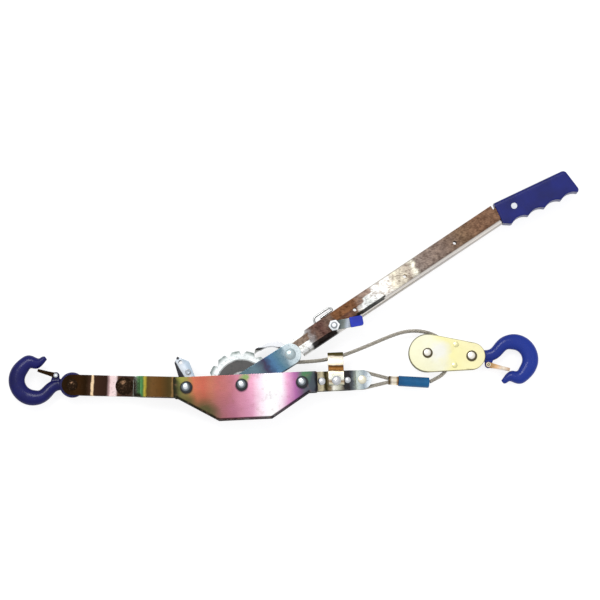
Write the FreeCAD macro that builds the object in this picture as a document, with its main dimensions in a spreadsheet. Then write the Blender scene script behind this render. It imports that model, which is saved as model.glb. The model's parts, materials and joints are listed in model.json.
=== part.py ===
import FreeCAD, Part
import math
import os
import Sketcher

# Come along winch with a double ratchet wheel, lying on its side.
# +Z is the drum axle, +X runs along the side plates towards the load hook,
# and the origin is the point of the floor under the axle.

Vector = FreeCAD.Vector
UP = Vector(0, 0, 1)

# Driving dimensions in millimetres and degrees
SIZES = {
    "head_height": 3.0,
    "plate_thickness": 3.0,
    "plate_gap": 0.3,
    "arm_thickness": 3.0,
    "wheel_gap": 0.4,
    "wheel_thickness": 4.0,
    "barrel_length": 16.0,
    "pin_clearance": 0.08,
    "side_gap": 0.3,
    # side plates
    "plate_back": 88.4,
    "plate_front": 98.0,
    "plate_top": 13.3,
    "strap_low": 13.4,
    "belly_low": 44.3,
    "belly_back": 31.7,
    "belly_front": 37.3,
    "slope_back": 84.0,
    "slope_front": 86.7,
    "rear_bolt_x": 71.5,
    "front_bolt_x": 78.0,
    "plate_corner": 2.5,
    # axle and bolts
    "axle_radius": 6.5,
    "bolt_radius": 6.0,
    "head_radius": 7.8,
    "spacer_radius": 9.0,
    # ratchet wheels and drum
    "tip_radius": 44.0,
    "root_radius": 38.4,
    "tooth_count": 14.0,
    "notch_angle": 9.0,
    "face_slant": 3.4,
    "face_angle": 66.0,
    "web_radius": 33.0,
    "web_recess": 1.2,
    "hub_radius": 17.0,
    "barrel_radius": 10.0,
    "rope_diameter": 4.8,
    "rope_layers": 4.0,
    # pawls
    "pawl_lift_gap": 0.4,
    "pawl_reach": 46.4,
    "pawl_side": 2.6,
    "pawl_boss": 9.0,
    "drive_boss": 7.2,
    "pawl_bow": 15.8,
    "pawl_arch": 6.0,
    "nose_length": 4.5,
    "nose_slope": 3.3,
    "nose_relief": 4.8,
    "tab_rise": 37.0,
    "tab_width": 15.0,
    "spring_hole": 2.6,
    "spring_x": 2.8,
    "spring_y": 20.0,
    "spring_radius": 3.6,
    "spring_wire": 1.3,
    "spring_turns": 4.0,
    # handle
    "handle_angle": 31.2,
    "arm_reach": 74.3,
    "arm_lag": 1.5,
    "tongue_radius": 10.8,
    "arm_radius": 14.0,
    "rivet_radius": 5.0,
    "rivet_head": 7.3,
    "channel_start": 88.5,
    "channel_end": 432.0,
    "tang_half_height": 8.0,
    "tang_shoulder": 2.6,
    "channel_height": 27.6,
    "channel_sheet": 2.0,
    "channel_corner": 8.0,
    "dimple_radius": 2.5,
    "dimple_pitch": 78.0,
    "dimple_first": 176.0,
    "grip_start": 400.0,
    "grip_length": 108.0,
    "grip_top": 14.5,
    "grip_crest": 19.5,
    "grip_width": 31.0,
    "grip_round": 4.0,
    "grip_droop": 8.4,
    "scallop_radius": 18.0,
    "scallop_pitch": 23.5,
    "grip_rivet_place": 22.7,
    "grip_rivet_radius": 2.5,
    "grip_rivet_head": 4.0,
    "trip_wire": 3.0,
    "trip_loop_run": 25.0,
    "trip_loop_place": 125.0,
    "trip_loop_height": 7.5,
    # direction lever of the driving pawl
    "lever_place": 142.0,
    "lever_drop": 2.7,
    "lever_turn": 23.0,
    "lever_thickness": 2.5,
    "lever_half_width": 6.0,
    "lever_length": 21.0,
    "cap_length": 17.0,
    "cap_half_width": 6.6,
    "nut_flats": 13.0,
    "nut_height": 6.5,
    "lever_bolt": 4.0,
    # rear link
    "link_angle": 4.0,
    "link_reach": 148.3,
    "link_rivet_place": 80.7,
    "strap_half_width": 13.3,
    "strap_thickness": 3.0,
    "joint_half_gap": 1.8,
    "joint_land": 12.0,
    "joggle_before": 21.0,
    "joggle_after": 38.0,
    "boss_radius": 11.7,
    # hooks
    "eye_radius": 16.4,
    "eye_thickness": 10.0,
    "eye_gap": 0.4,
    "eye_pin": 5.5,
    "rear_bowl_reach": 49.8,
    "load_bowl_reach": 53.7,
    "bowl_radius": 22.9,
    "hook_half_width": 10.6,
    "hook_half_depth": 7.6,
    "shank_half_width": 8.4,
    "root_angle": 16.0,
    "neck_angle": 42.0,
    "tip_half_width": 2.8,
    "latch_sheet": 1.5,
    "latch_half_width": 7.0,
    "latch_height": 5.0,
    "latch_pin": 2.0,
    "lug_radius": 4.5,
    "lug_thickness": 6.0,
    "latch_x": 22.6,
    "latch_y": 9.5,
    "latch_tilt": 8.0,
    "latch_short": 25.3,
    "rear_hook_turn": 170.0,
    "load_hook_turn": -7.0,
    # front link with the rope's eye
    "front_reach": 156.0,
    "front_half_width": 12.4,
    "joggle_start_share": 0.7053,
    "joggle_end_share": 0.8479,
    "front_half_gap": 5.0,
    "link_rivet_x": 103.4,
    "guide_bolt_share": 0.365,
    "small_rivet_share": 0.6388,
    "link_rivet_radius": 3.0,
    "guide_bolt_radius": 4.0,
    "small_rivet_radius": 2.0,
    "shoulder_radius": 7.0,
    "thimble_pin": 4.0,
    "thimble_radius": 9.6,
    "thimble_width": 8.0,
    "ferrule_x": 190.0,
    "ferrule_y": -2.0,
    "ferrule_length": 13.0,
    "ferrule_radius": 5.7,
    "sleeve_length": 40.0,
    "sleeve_radius": 6.75,
    "sleeve_turn": 5.8,
    "sleeve_dip": 6.5,
    # rope guide
    "guide_width": 20.0,
    "guide_sheet": 2.0,
    "guide_low": -6.0,
    "guide_bend": 14.0,
    "guide_step_end": 19.0,
    "guide_step": 3.0,
    "guide_top": 36.5,
    "guide_depth": 12.0,
    # snatch block
    "sheave_x": 242.6,
    "sheave_y": 31.3,
    "block_pin_x": 299.5,
    "block_pin_y": 24.8,
    "block_big": 24.7,
    "block_small": 17.6,
    "block_plate": 3.0,
    "block_head": 3.2,
    "block_gap": 10.6,
    "sheave_radius": 24.2,
    "groove_radius": 22.0,
    "groove_mouth": 4.0,
    "groove_floor": 1.2,
    "sheave_width": 10.0,
    "sheave_pin": 5.0,
    "sheave_head": 6.6,
    "hook_pin_head": 7.1,
    "block_spacer": 2.5,
    "spacer_x": 36.0,
    "spacer_y": 13.5,
}

DOC = FreeCAD.newDocument("come_along_winch")
SHEET = DOC.addObject("Spreadsheet::Sheet", "sizes")
for row, (alias, number) in enumerate(SIZES.items(), start=1):
    SHEET.set(f"A{row}", alias)
    SHEET.set(f"B{row}", str(number))
    SHEET.setAlias(f"B{row}", alias)
DOC.recompute()


class Dim:
    """A size: its number, and the expression that ties a feature to the sheet."""

    def __init__(self, value, text):
        self.value = value
        self.text = text

    def __add__(self, other):
        other = dim(other)
        return Dim(self.value + other.value, f"({self.text} + {other.text})")

    __radd__ = __add__

    def __neg__(self):
        return Dim(-self.value, f"(-1 * {self.text})")

    def __sub__(self, other):
        return self + (-dim(other))

    def __rsub__(self, other):
        return dim(other) + (-self)

    def __mul__(self, other):
        other = dim(other)
        return Dim(self.value * other.value, f"({self.text} * {other.text})")

    __rmul__ = __mul__

    def __truediv__(self, other):
        other = dim(other)
        return Dim(self.value / other.value, f"({self.text} / {other.text})")

    def __rtruediv__(self, other):
        return dim(other) / self


def dim(thing):
    """A number as a Dim, and a Dim as it is."""
    if isinstance(thing, Dim):
        return thing
    return Dim(float(thing), f"({float(thing):.9f})")


def cos(angle):
    angle = dim(angle)
    return Dim(math.cos(math.radians(angle.value)), f"cos({angle.text})")


def sin(angle):
    angle = dim(angle)
    return Dim(math.sin(math.radians(angle.value)), f"sin({angle.text})")


class Sheet:
    """Reads a size from the spreadsheet by its alias."""

    def __getattr__(self, alias):
        return Dim(float(SHEET.get(alias)), f"sizes.{alias}")


S = Sheet()


def tie(thing, prop, value):
    """Binds a property to the expression of a size."""
    thing.setExpression(prop, dim(value).text)


def polar(radius, angle, centre=(0, 0)):
    """The point at a radius and an angle from a centre."""
    return dim(centre[0]) + radius * cos(angle), dim(centre[1]) + radius * sin(angle)


# Bodies, sketches and features
BODIES = {}


def new_body(label, x=0, y=0, z=0, turn=0):
    """A body with a label and a placement tied to the sheet."""
    body = DOC.addObject("PartDesign::Body", label)
    body.Label = label
    body.Placement = FreeCAD.Placement(Vector(0, 0, 0), FreeCAD.Rotation(UP, 5))
    for prop, value in (("Base.x", x), ("Base.y", y), ("Base.z", z), ("Rotation.Angle", turn)):
        tie(body, f"Placement.{prop}", value)
    BODIES[label] = body
    return body


def new_sketch(body, role, name, height=0):
    """A sketch on one of the body's own origin planes, raised by height along its normal."""
    sketch = body.newObject("Sketcher::SketchObject", f"{body.Name}_{name}")
    plane = next(f for f in body.Origin.OriginFeatures if f.Role == role)
    sketch.AttachmentSupport = [(plane, "")]
    sketch.MapMode = "FlatFace"
    tie(sketch, "AttachmentOffset.Base.z", height)
    return sketch


def fix_point(sketch, index, place, point):
    """Holds a point of a sketch at a distance from the sketch's origin."""
    for kind, value in (("DistanceX", dim(point[0])), ("DistanceY", dim(point[1]))):
        number = sketch.addConstraint(Sketcher.Constraint(kind, -1, 1, index, place, value.value))
        sketch.setExpression(f"Constraints[{number}]", value.text)


def circle(sketch, centre, radius):
    """A circle at a centre."""
    radius = dim(radius)
    at = Vector(dim(centre[0]).value, dim(centre[1]).value, 0)
    index = sketch.addGeometry(Part.Circle(at, UP, radius.value))
    fix_point(sketch, index, 3, centre)
    number = sketch.addConstraint(Sketcher.Constraint("Radius", index, radius.value))
    sketch.setExpression(f"Constraints[{number}]", radius.text)


def arc_centre(a, b, radius):
    """The centre of the arc from a to b: on the left of the way for a positive radius."""
    middle = (a + b) * 0.5
    half = (b - a) * 0.5
    left = Vector(-half.y, half.x, 0)
    left.normalize()
    rise = math.sqrt(max(radius * radius - half.Length**2, 0.0))
    return middle + left * (rise if radius > 0 else -rise)


def outline(sketch, corners):
    """A closed outline. A corner is (x, y), or (x, y, radius) where the edge after it is an arc:
    it turns left with a positive radius and right with a negative one."""
    places = [Vector(dim(c[0]).value, dim(c[1]).value, 0) for c in corners]
    starts, ends = [], []
    for number, corner in enumerate(corners):
        a, b = places[number], places[(number + 1) % len(places)]
        if len(corner) == 2:
            index = sketch.addGeometry(Part.LineSegment(a, b))
            starts.append((index, 1))
            ends.append((index, 2))
            continue
        radius = dim(corner[2])
        centre = arc_centre(a, b, radius.value)
        first, last = (a, b) if radius.value > 0 else (b, a)
        angles = [math.atan2(p.y - centre.y, p.x - centre.x) for p in (first, last)]
        if angles[1] < angles[0]:
            angles[1] += 2 * math.pi
        ring = Part.Circle(centre, UP, abs(radius.value))
        index = sketch.addGeometry(Part.ArcOfCircle(ring, angles[0], angles[1]))
        starts.append((index, 1 if radius.value > 0 else 2))
        ends.append((index, 2 if radius.value > 0 else 1))
        size = radius if radius.value > 0 else -radius
        bound = sketch.addConstraint(Sketcher.Constraint("Radius", index, size.value))
        sketch.setExpression(f"Constraints[{bound}]", size.text)
    for number, (index, place) in enumerate(starts):
        before = ends[number - 1]
        sketch.addConstraint(Sketcher.Constraint("Coincident", before[0], before[1], index, place))
        fix_point(sketch, index, place, corners[number])


def rounded_bar(x_start, x_end, half_width, round_start=True, round_end=True):
    """The corners of a bar along X, with its ends rounded about x_start and x_end."""
    corners = []
    if round_end:
        corners += [
            (x_end, -half_width, half_width),
            (x_end + half_width, 0, half_width),
            (x_end, half_width),
        ]
    else:
        corners += [(x_end, -half_width), (x_end, half_width)]
    if round_start:
        corners += [
            (x_start, half_width, half_width),
            (x_start - half_width, 0, half_width),
            (x_start, -half_width),
        ]
    else:
        corners += [(x_start, half_width), (x_start, -half_width)]
    return corners


def pad(body, sketch, length, centred=False):
    """Adds the sketch's shape, length long."""
    feature = body.newObject("PartDesign::Pad", f"{sketch.Name}_pad")
    feature.Profile = sketch
    feature.Midplane = centred
    tie(feature, "Length", length)
    body.Tip = feature
    return feature


CUTS = []


def pocket(body, sketch, depth=None, upward=False):
    """Cuts the sketch's shape away, right through both ways, or to a depth on one side."""
    feature = body.newObject("PartDesign::Pocket", f"{sketch.Name}_pocket")
    feature.Profile = sketch
    if depth is None:
        feature.Type = "ThroughAll"
        feature.Midplane = True
    else:
        tie(feature, "Length", depth)
        feature.Reversed = upward
    body.Tip = feature
    CUTS.append(feature)
    return feature


def fillet(body, radius, wanted):
    """Rounds the edges of the body's last feature for which wanted(edge) is true."""
    DOC.recompute()
    base = body.Tip
    names = [f"Edge{n}" for n, edge in enumerate(base.Shape.Edges, 1) if wanted(edge)]
    feature = body.newObject("PartDesign::Fillet", f"{base.Name}_fillet")
    feature.Base = (base, names)
    tie(feature, "Radius", radius)
    body.Tip = feature
    return feature


def upright(edge):
    """True for an edge along Z."""
    if edge.Curve.TypeId != "Part::GeomLine":
        return False
    way = edge.Vertexes[-1].Point - edge.Vertexes[0].Point
    return abs(way.z) > 0.99 * edge.Length


def plate(label, corners, holes, thickness, x=0, y=0, z=0, turn=0):
    """A flat plate with round holes, from its outline."""
    body = new_body(label, x, y, z, turn)
    sketch = new_sketch(body, "XY_Plane", "outline")
    outline(sketch, corners)
    for centre, radius in holes:
        circle(sketch, centre, radius)
    pad(body, sketch, thickness)
    return body


def turned(label, profile, x=0, y=0, z=0):
    """A piece turned about Z, from the corners (radius, height) of its half section."""
    body = new_body(label, x, y, z)
    sketch = new_sketch(body, "XZ_Plane", "section")
    outline(sketch, profile)
    feature = body.newObject("PartDesign::Revolution", f"{label}_turn")
    feature.Profile = sketch
    feature.ReferenceAxis = (sketch, ["V_Axis"])
    feature.Angle = 360
    body.Tip = feature
    return body


def rivet_profile(radius, head_radius, bottom, top, head, dome=True):
    """The half section of a rivet: a flat head below bottom and a domed one above top."""
    low, high = bottom - head, top + head
    edge = head / 3
    if not dome:
        upper = [(head_radius, top), (head_radius, high), (0, high)]
    else:
        crown = (head_radius * head_radius + (head - edge) * (head - edge)) / ((head - edge) * 2)
        upper = [(head_radius, top), (head_radius, top + edge, crown), (0, high)]
    return [(0, low), (head_radius, low), (head_radius, bottom), (radius, bottom), (radius, top)] + upper


# Heights of the layers, from the floor up
PLATE_LOW = S.head_height
ARM_LOW = PLATE_LOW + S.plate_thickness + S.plate_gap
WHEEL_LOW = ARM_LOW + S.arm_thickness + S.wheel_gap
BARREL_LOW = WHEEL_LOW + S.wheel_thickness
WHEEL_HIGH = BARREL_LOW + S.barrel_length
ARM_HIGH = WHEEL_HIGH + S.wheel_thickness + S.wheel_gap
PLATE_HIGH = ARM_HIGH + S.arm_thickness + S.plate_gap
STACK_TOP = PLATE_HIGH + S.plate_thickness
MIDDLE = (PLATE_LOW + STACK_TOP) / 2
BLOCK_LOW = S.block_head
BLOCK_MIDDLE = BLOCK_LOW + S.block_plate + S.block_gap / 2
BORE = S.axle_radius + S.pin_clearance


def side_plates():
    """The two plates of the frame, with their belly round the drum."""
    corners = [
        (-S.plate_back, S.plate_top),
        (-S.plate_back, -S.strap_low),
        (-S.slope_back, -S.strap_low),
        (-S.belly_back, -S.belly_low),
        (S.belly_front, -S.belly_low),
        (S.slope_front, -S.strap_low),
        (S.plate_front, -S.strap_low),
        (S.plate_front, S.plate_top),
    ]
    holes = [
        ((-S.rear_bolt_x, 0), S.bolt_radius),
        ((0, 0), S.axle_radius),
        ((S.front_bolt_x, 0), S.bolt_radius),
    ]
    for label, z in (("side_plate_bottom", PLATE_LOW), ("side_plate_top", PLATE_HIGH)):
        body = plate(label, corners, holes, S.plate_thickness, z=z)
        fillet(body, S.plate_corner, upright)


def frame_pins():
    """The axle, the two bolts of the plates and the tube between the plates at the front bolt."""
    for label, x, radius in (
        ("rear_bolt", -S.rear_bolt_x, S.bolt_radius),
        ("drum_axle", dim(0), S.axle_radius),
        ("front_bolt", S.front_bolt_x, S.bolt_radius),
    ):
        turned(label, rivet_profile(radius, S.head_radius, PLATE_LOW, STACK_TOP, S.head_height), x=x)
    low = ARM_LOW + S.strap_thickness
    inner, outer = S.bolt_radius, S.spacer_radius
    section = [(inner, low), (outer, low), (outer, ARM_HIGH), (inner, ARM_HIGH)]
    turned("front_spacer", section, x=S.front_bolt_x)


def ratchet_wheel(label, z, recess_up):
    """A toothed disc whose steep faces stop it turning clockwise."""
    body = new_body(label, z=z)
    disc = new_sketch(body, "XY_Plane", "disc")
    circle(disc, (0, 0), S.tip_radius)
    circle(disc, (0, 0), BORE)
    pad(body, disc, S.wheel_thickness)
    recess = new_sketch(body, "XY_Plane", "recess", S.wheel_thickness if recess_up else 0)
    circle(recess, (0, 0), S.web_radius)
    circle(recess, (0, 0), S.hub_radius)
    pocket(body, recess, S.web_recess, upward=not recess_up)
    notch = new_sketch(body, "XY_Plane", "notch")
    beyond = S.tip_radius + 2
    foot = polar(S.root_radius, S.face_angle - S.face_slant)
    tip = polar(S.tip_radius, S.face_angle)
    over = (tip[0] + (tip[0] - foot[0]) * 0.4, tip[1] + (tip[1] - foot[1]) * 0.4)
    back = polar(S.tip_radius, S.face_angle - S.face_slant - S.notch_angle)
    outline(notch, [foot, over, polar(beyond, S.face_angle - S.face_slant - S.notch_angle), back])
    cut = pocket(body, notch)
    teeth = body.newObject("PartDesign::PolarPattern", f"{label}_teeth")
    teeth.Originals = [cut]
    teeth.Axis = (notch, ["N_Axis"])
    teeth.Angle = 360
    tie(teeth, "Occurrences", S.tooth_count)
    body.Tip = teeth
    CUTS.append(teeth)


def drum():
    """The two ratchet wheels, the barrel between them and the rope wound on it."""
    ratchet_wheel("ratchet_wheel_bottom", WHEEL_LOW, False)
    ratchet_wheel("ratchet_wheel_top", WHEEL_HIGH, True)
    wall = [
        (BORE, BARREL_LOW),
        (S.barrel_radius, BARREL_LOW),
        (S.barrel_radius, WHEEL_HIGH),
        (BORE, WHEEL_HIGH),
    ]
    turned("drum_barrel", wall)
    turns = 3
    pitch = S.barrel_length / turns
    flat = S.barrel_radius + S.rope_diameter * (S.rope_layers - 0.5)
    crown = S.rope_diameter / 2
    lower = (pitch - S.rope_diameter) / 2
    profile = [(S.barrel_radius, BARREL_LOW)]
    for turn in range(turns):
        z = BARREL_LOW + pitch * turn + lower
        profile += [
            (flat, z, crown),
            (flat + crown, z + crown, crown),
            (flat, z + S.rope_diameter),
        ]
    profile += [(S.barrel_radius, WHEEL_HIGH)]
    turned("rope_winding", profile)


def rest_angle(pin_radius, pin_angle):
    """The direction from a pawl's pin to its nose, with the nose just off the tip circle."""
    ride = S.tip_radius.value + S.pawl_lift_gap.value
    reach, pin = S.pawl_reach.value, pin_radius.value
    share = (pin * pin + reach * reach - ride * ride) / (2 * pin * reach)
    return dim(pin_angle.value + 180 + math.degrees(math.acos(share)) * PAWL_SIDE)


# Both pawls reach anticlockwise from their pins, so they stop a clockwise turn
PAWL_SIDE = -1
PAWL_WIDTH = WHEEL_HIGH + S.wheel_thickness - WHEEL_LOW
HANDLE_PIN_ANGLE = S.handle_angle - S.arm_lag
HANDLE_PIN = polar(S.arm_reach, HANDLE_PIN_ANGLE)


def holding_pawl():
    """The pawl that holds the drum: two cheeks on the rear bolt, a solid nose and a thumb tab."""
    body = new_body("holding_pawl", x=-S.rear_bolt_x, z=WHEEL_LOW)
    nose = rest_angle(S.rear_bolt_x, dim(180))
    reach, boss, sheet = S.pawl_reach, S.pawl_boss, S.pawl_side

    def along(out, aside):
        """The point at a distance out along the pawl and a distance to its left."""
        return out * cos(nose) - aside * sin(nose), out * sin(nose) + aside * cos(nose)

    width, rise = S.tab_width, S.tab_rise
    sketch = new_sketch(body, "XY_Plane", "outline")
    outline(
        sketch,
        [
            along(0, -boss),
            along(reach - 9, -boss),
            along(reach - 1.5, -boss * 0.8),
            along(reach, 0),
            along(reach - S.nose_length, -S.nose_slope),
            along(reach - S.nose_length - 3.5, -S.nose_relief),
            along(reach * 0.4, -S.nose_relief),
            (boss + 4, 2),
            (width * 0.74, 14),
            (width * 0.3, rise - 3.5),
            (-width * 0.7, rise + 3.5),
            (-width * 0.95, rise - 4.5),
            (-boss, boss * 1.3),
            (-boss, 0, boss),
        ],
    )
    circle(sketch, (0, 0), S.bolt_radius + S.pin_clearance)
    pad(body, sketch, PAWL_WIDTH)
    hollow = new_sketch(body, "XY_Plane", "hollow", sheet)
    outline(
        hollow,
        [
            (-boss + sheet, -boss * 1.6),
            along(reach - 16, -boss * 1.6),
            along(reach - 16, boss),
            (boss + 15, boss),
            (width * 1.4, rise - 4),
            (width * 0.3, rise - 6),
            (-width * 0.7 + 2, rise),
            (-width * 0.95 + sheet, rise - 5),
            (-boss + sheet, boss * 1.3),
        ],
    )
    pocket(body, hollow, PAWL_WIDTH - sheet * 2, upward=True)
    hole = new_sketch(body, "XY_Plane", "spring_hole")
    circle(hole, (-width * 0.44, rise - 4), S.spring_hole)
    pocket(body, hole)


def pawl_spring():
    """The coil of the spring on the holding pawl's upper cheek, as its outer shape."""
    radius, half = S.spring_radius, S.spring_wire / 2
    floor = WHEEL_LOW + PAWL_WIDTH
    profile = [(radius - S.spring_wire, floor)]
    for turn in range(int(S.spring_turns.value)):
        low = floor + S.spring_wire * turn
        profile += [(radius - half, low, half), (radius, low + half, half)]
    top = floor + S.spring_wire * S.spring_turns
    profile += [(radius - half, top), (radius - S.spring_wire, top)]
    turned("pawl_spring", profile, S.spring_x - S.rear_bolt_x, S.spring_y)


def driving_pawl():
    """The pawl on the handle's rivet: an arch over the teeth, narrow between the handle's tongues."""
    nose = rest_angle(S.arm_reach, HANDLE_PIN_ANGLE)
    body = new_body("driving_pawl", x=HANDLE_PIN[0], y=HANDLE_PIN[1], z=WHEEL_LOW, turn=nose)
    reach, boss, bow = S.pawl_reach, S.drive_boss, S.pawl_bow
    sketch = new_sketch(body, "XY_Plane", "outline")
    outline(
        sketch,
        [
            (0, boss, boss),
            (-boss, 0, boss),
            (0, -boss),
            (reach * 0.3, -bow, bow * 2.2),
            (reach * 0.63, -bow * 0.93, bow * 2.4),
            (reach - 0.6, -bow * 0.29),
            (reach, 0),
            (reach - S.nose_length, -S.nose_slope),
            (reach - S.nose_length - 4, -S.nose_relief, -bow * 1.7),
            (reach * 0.5, -bow + S.pawl_arch, -bow * 1.9),
            (boss * cos(-20), boss * sin(-20), boss),
        ],
    )
    circle(sketch, (0, 0), S.rivet_radius + S.pin_clearance)
    pad(body, sketch, PAWL_WIDTH)
    relief = S.channel_sheet + 0.4
    for name, height, upward in (("relief_low", 0, True), ("relief_high", PAWL_WIDTH, False)):
        side = new_sketch(body, "XY_Plane", name, height)
        circle(side, (0, 0), S.tongue_radius + 1)
        pocket(body, side, relief, upward)


def tube(label, edges, diameter):
    """A round bar along a path of lines and arcs."""
    wire = Part.Wire([edge.toShape() for edge in edges])
    start, end = edges[0].StartPoint, edges[0].EndPoint
    ring = Part.Wire(Part.Circle(start, end - start, diameter.value / 2).toShape())
    solid = wire.makePipeShell([ring], True, False)
    expected = math.pi * diameter.value**2 / 4 * wire.Length
    if abs(solid.Volume - expected) > 0.01 * expected:
        raise ValueError(f"{label}: the tube's volume is {solid.Volume:.1f} and not {expected:.1f}")
    piece = DOC.addObject("Part::Feature", label)
    piece.Label = label
    piece.Shape = solid
    BODIES[label] = piece
    return piece


def rounded_path(points, share=0.45, report=None):
    """Lines through the points with tangent arcs at the corners, each as large as its runs allow."""
    places = [Vector(*[dim(c).value for c in p]) for p in points]
    runs = [b - a for a, b in zip(places, places[1:])]
    edges, radii, last = [], [], places[0]
    for before, corner, after in zip(runs, places[1:], runs[1:]):
        turn = before.getAngle(after)
        cut = share * min(before.Length, after.Length)
        radii.append(cut / math.tan(turn / 2))
        start = corner - before.normalize() * cut
        end = corner + Vector(after).normalize() * cut
        way = (Vector(after).normalize() - before).normalize()
        middle = corner + way * (radii[-1] / math.cos(turn / 2) - radii[-1])
        edges.append(Part.LineSegment(last, start))
        edges.append(Part.Arc(start, middle, end))
        last = end
    edges.append(Part.LineSegment(last, places[-1]))
    if report:
        print(report, "radii", [round(r, 1) for r in radii])
    return edges


def split_line(edges, number):
    """Cuts a path in two at the middle of its line of that number."""
    line = edges[number]
    middle = (line.StartPoint + line.EndPoint) * 0.5
    before = edges[:number] + [Part.LineSegment(line.StartPoint, middle)]
    return before, [Part.LineSegment(middle, line.EndPoint)] + edges[number + 1 :]


def trip_wire():
    """The wire that lifts the driving pawl, with its finger loop above the channel."""
    turn = S.handle_angle
    bow = S.trip_loop_height

    def on_bar(x, y):
        """A point of the handle, from its own axes."""
        return x * cos(turn) - y * sin(turn), x * sin(turn) + y * cos(turn), MIDDLE

    start = S.arm_reach + S.rivet_radius + 0.4
    loop, top = S.trip_loop_place, S.channel_height / 2
    points = [
        on_bar(start, dim(1.5)),
        on_bar(start + 22, dim(6.0)),
        on_bar(loop - 2, top - 3),
        on_bar(loop, top + bow),
        on_bar(loop + S.trip_loop_run, top + bow),
        on_bar(loop + S.trip_loop_run + 3, top + 2.5),
        on_bar(loop + 8, top + 2),
    ]
    tube("trip_wire", rounded_path(points), S.trip_wire)


def handle_arms():
    """The two flat arms from the axle to the handle's rivet."""
    corners = rounded_bar(dim(0), S.arm_reach, S.arm_radius)
    holes = [((0, 0), BORE), ((S.arm_reach, 0), S.rivet_radius)]
    for label, z in (("handle_arm_bottom", ARM_LOW), ("handle_arm_top", ARM_HIGH)):
        plate(label, corners, holes, S.arm_thickness, z=z, turn=HANDLE_PIN_ANGLE)
    head = S.plate_gap + S.plate_thickness
    profile = rivet_profile(S.rivet_radius, S.rivet_head, ARM_LOW, ARM_HIGH + S.arm_thickness, head)
    turned("arm_rivet", profile, x=HANDLE_PIN[0], y=HANDLE_PIN[1])


CHANNEL_HALF = (ARM_HIGH - ARM_LOW - S.arm_thickness) / 2 - 0.2


def handle_channel():
    """The long channel of the handle, open on its upper side, with tongues at both ends."""
    body = new_body("handle_channel", z=MIDDLE, turn=S.handle_angle)
    half, tall = CHANNEL_HALF, S.channel_height / 2
    sheet, corner = S.channel_sheet, S.channel_corner
    inner = corner - sheet
    sketch = new_sketch(body, "YZ_Plane", "section", S.channel_start)
    outline(
        sketch,
        [
            (tall, half),
            (-tall + corner, half, corner),
            (-tall, half - corner),
            (-tall, -half + corner, corner),
            (-tall + corner, -half),
            (tall, -half),
            (tall, -half + sheet),
            (-tall + corner, -half + sheet, -inner),
            (-tall + sheet, -half + corner),
            (-tall + sheet, half - corner, -inner),
            (-tall + corner, half - sheet),
            (tall, half - sheet),
        ],
    )
    pad(body, sketch, S.channel_end - S.channel_start)
    pin_x, pin_y = S.arm_reach * cos(S.arm_lag), -S.arm_reach * sin(S.arm_lag)
    for name, height in (("tongue_low", -half), ("tongue_high", half - sheet)):
        tongue = new_sketch(body, "XY_Plane", name, height)
        radius = S.tongue_radius
        outline(
            tongue,
            [
                (pin_x, pin_y + radius, radius),
                (pin_x - radius, pin_y, radius),
                (pin_x, pin_y - radius),
                (S.channel_start + 2, -tall + corner),
                (S.channel_start + 2, tall - 2),
            ],
        )
        pad(body, tongue, sheet)
    holes = new_sketch(body, "XY_Plane", "holes")
    circle(holes, (pin_x, pin_y), S.rivet_radius)
    circle(holes, (S.lever_place, -S.lever_drop), S.lever_bolt)
    for number in range(3):
        circle(holes, (S.dimple_first + S.dimple_pitch * number, dim(0)), S.dimple_radius)
    pocket(body, holes)
    trims = new_sketch(body, "XY_Plane", "tang")
    end = S.channel_end + 2
    shoulder = S.grip_start - S.tang_shoulder
    for side in (1, -1):
        near, far = S.tang_half_height * side, (tall + 2) * side
        corners = [(shoulder, near), (end, near), (end, far), (shoulder, far)]
        outline(trims, corners if side > 0 else corners[::-1])
    pocket(body, trims)
    rivet = new_sketch(body, "XY_Plane", "grip_hole")
    place = grip_point(S.grip_rivet_place, dim(0))
    circle(rivet, place, S.grip_rivet_radius)
    pocket(body, rivet)


def grip_point(x, y):
    """A point of the grip, in the handle's own axes."""
    turn = -S.grip_droop
    return S.grip_start + x * cos(turn) - y * sin(turn), x * sin(turn) + y * cos(turn)


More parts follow.
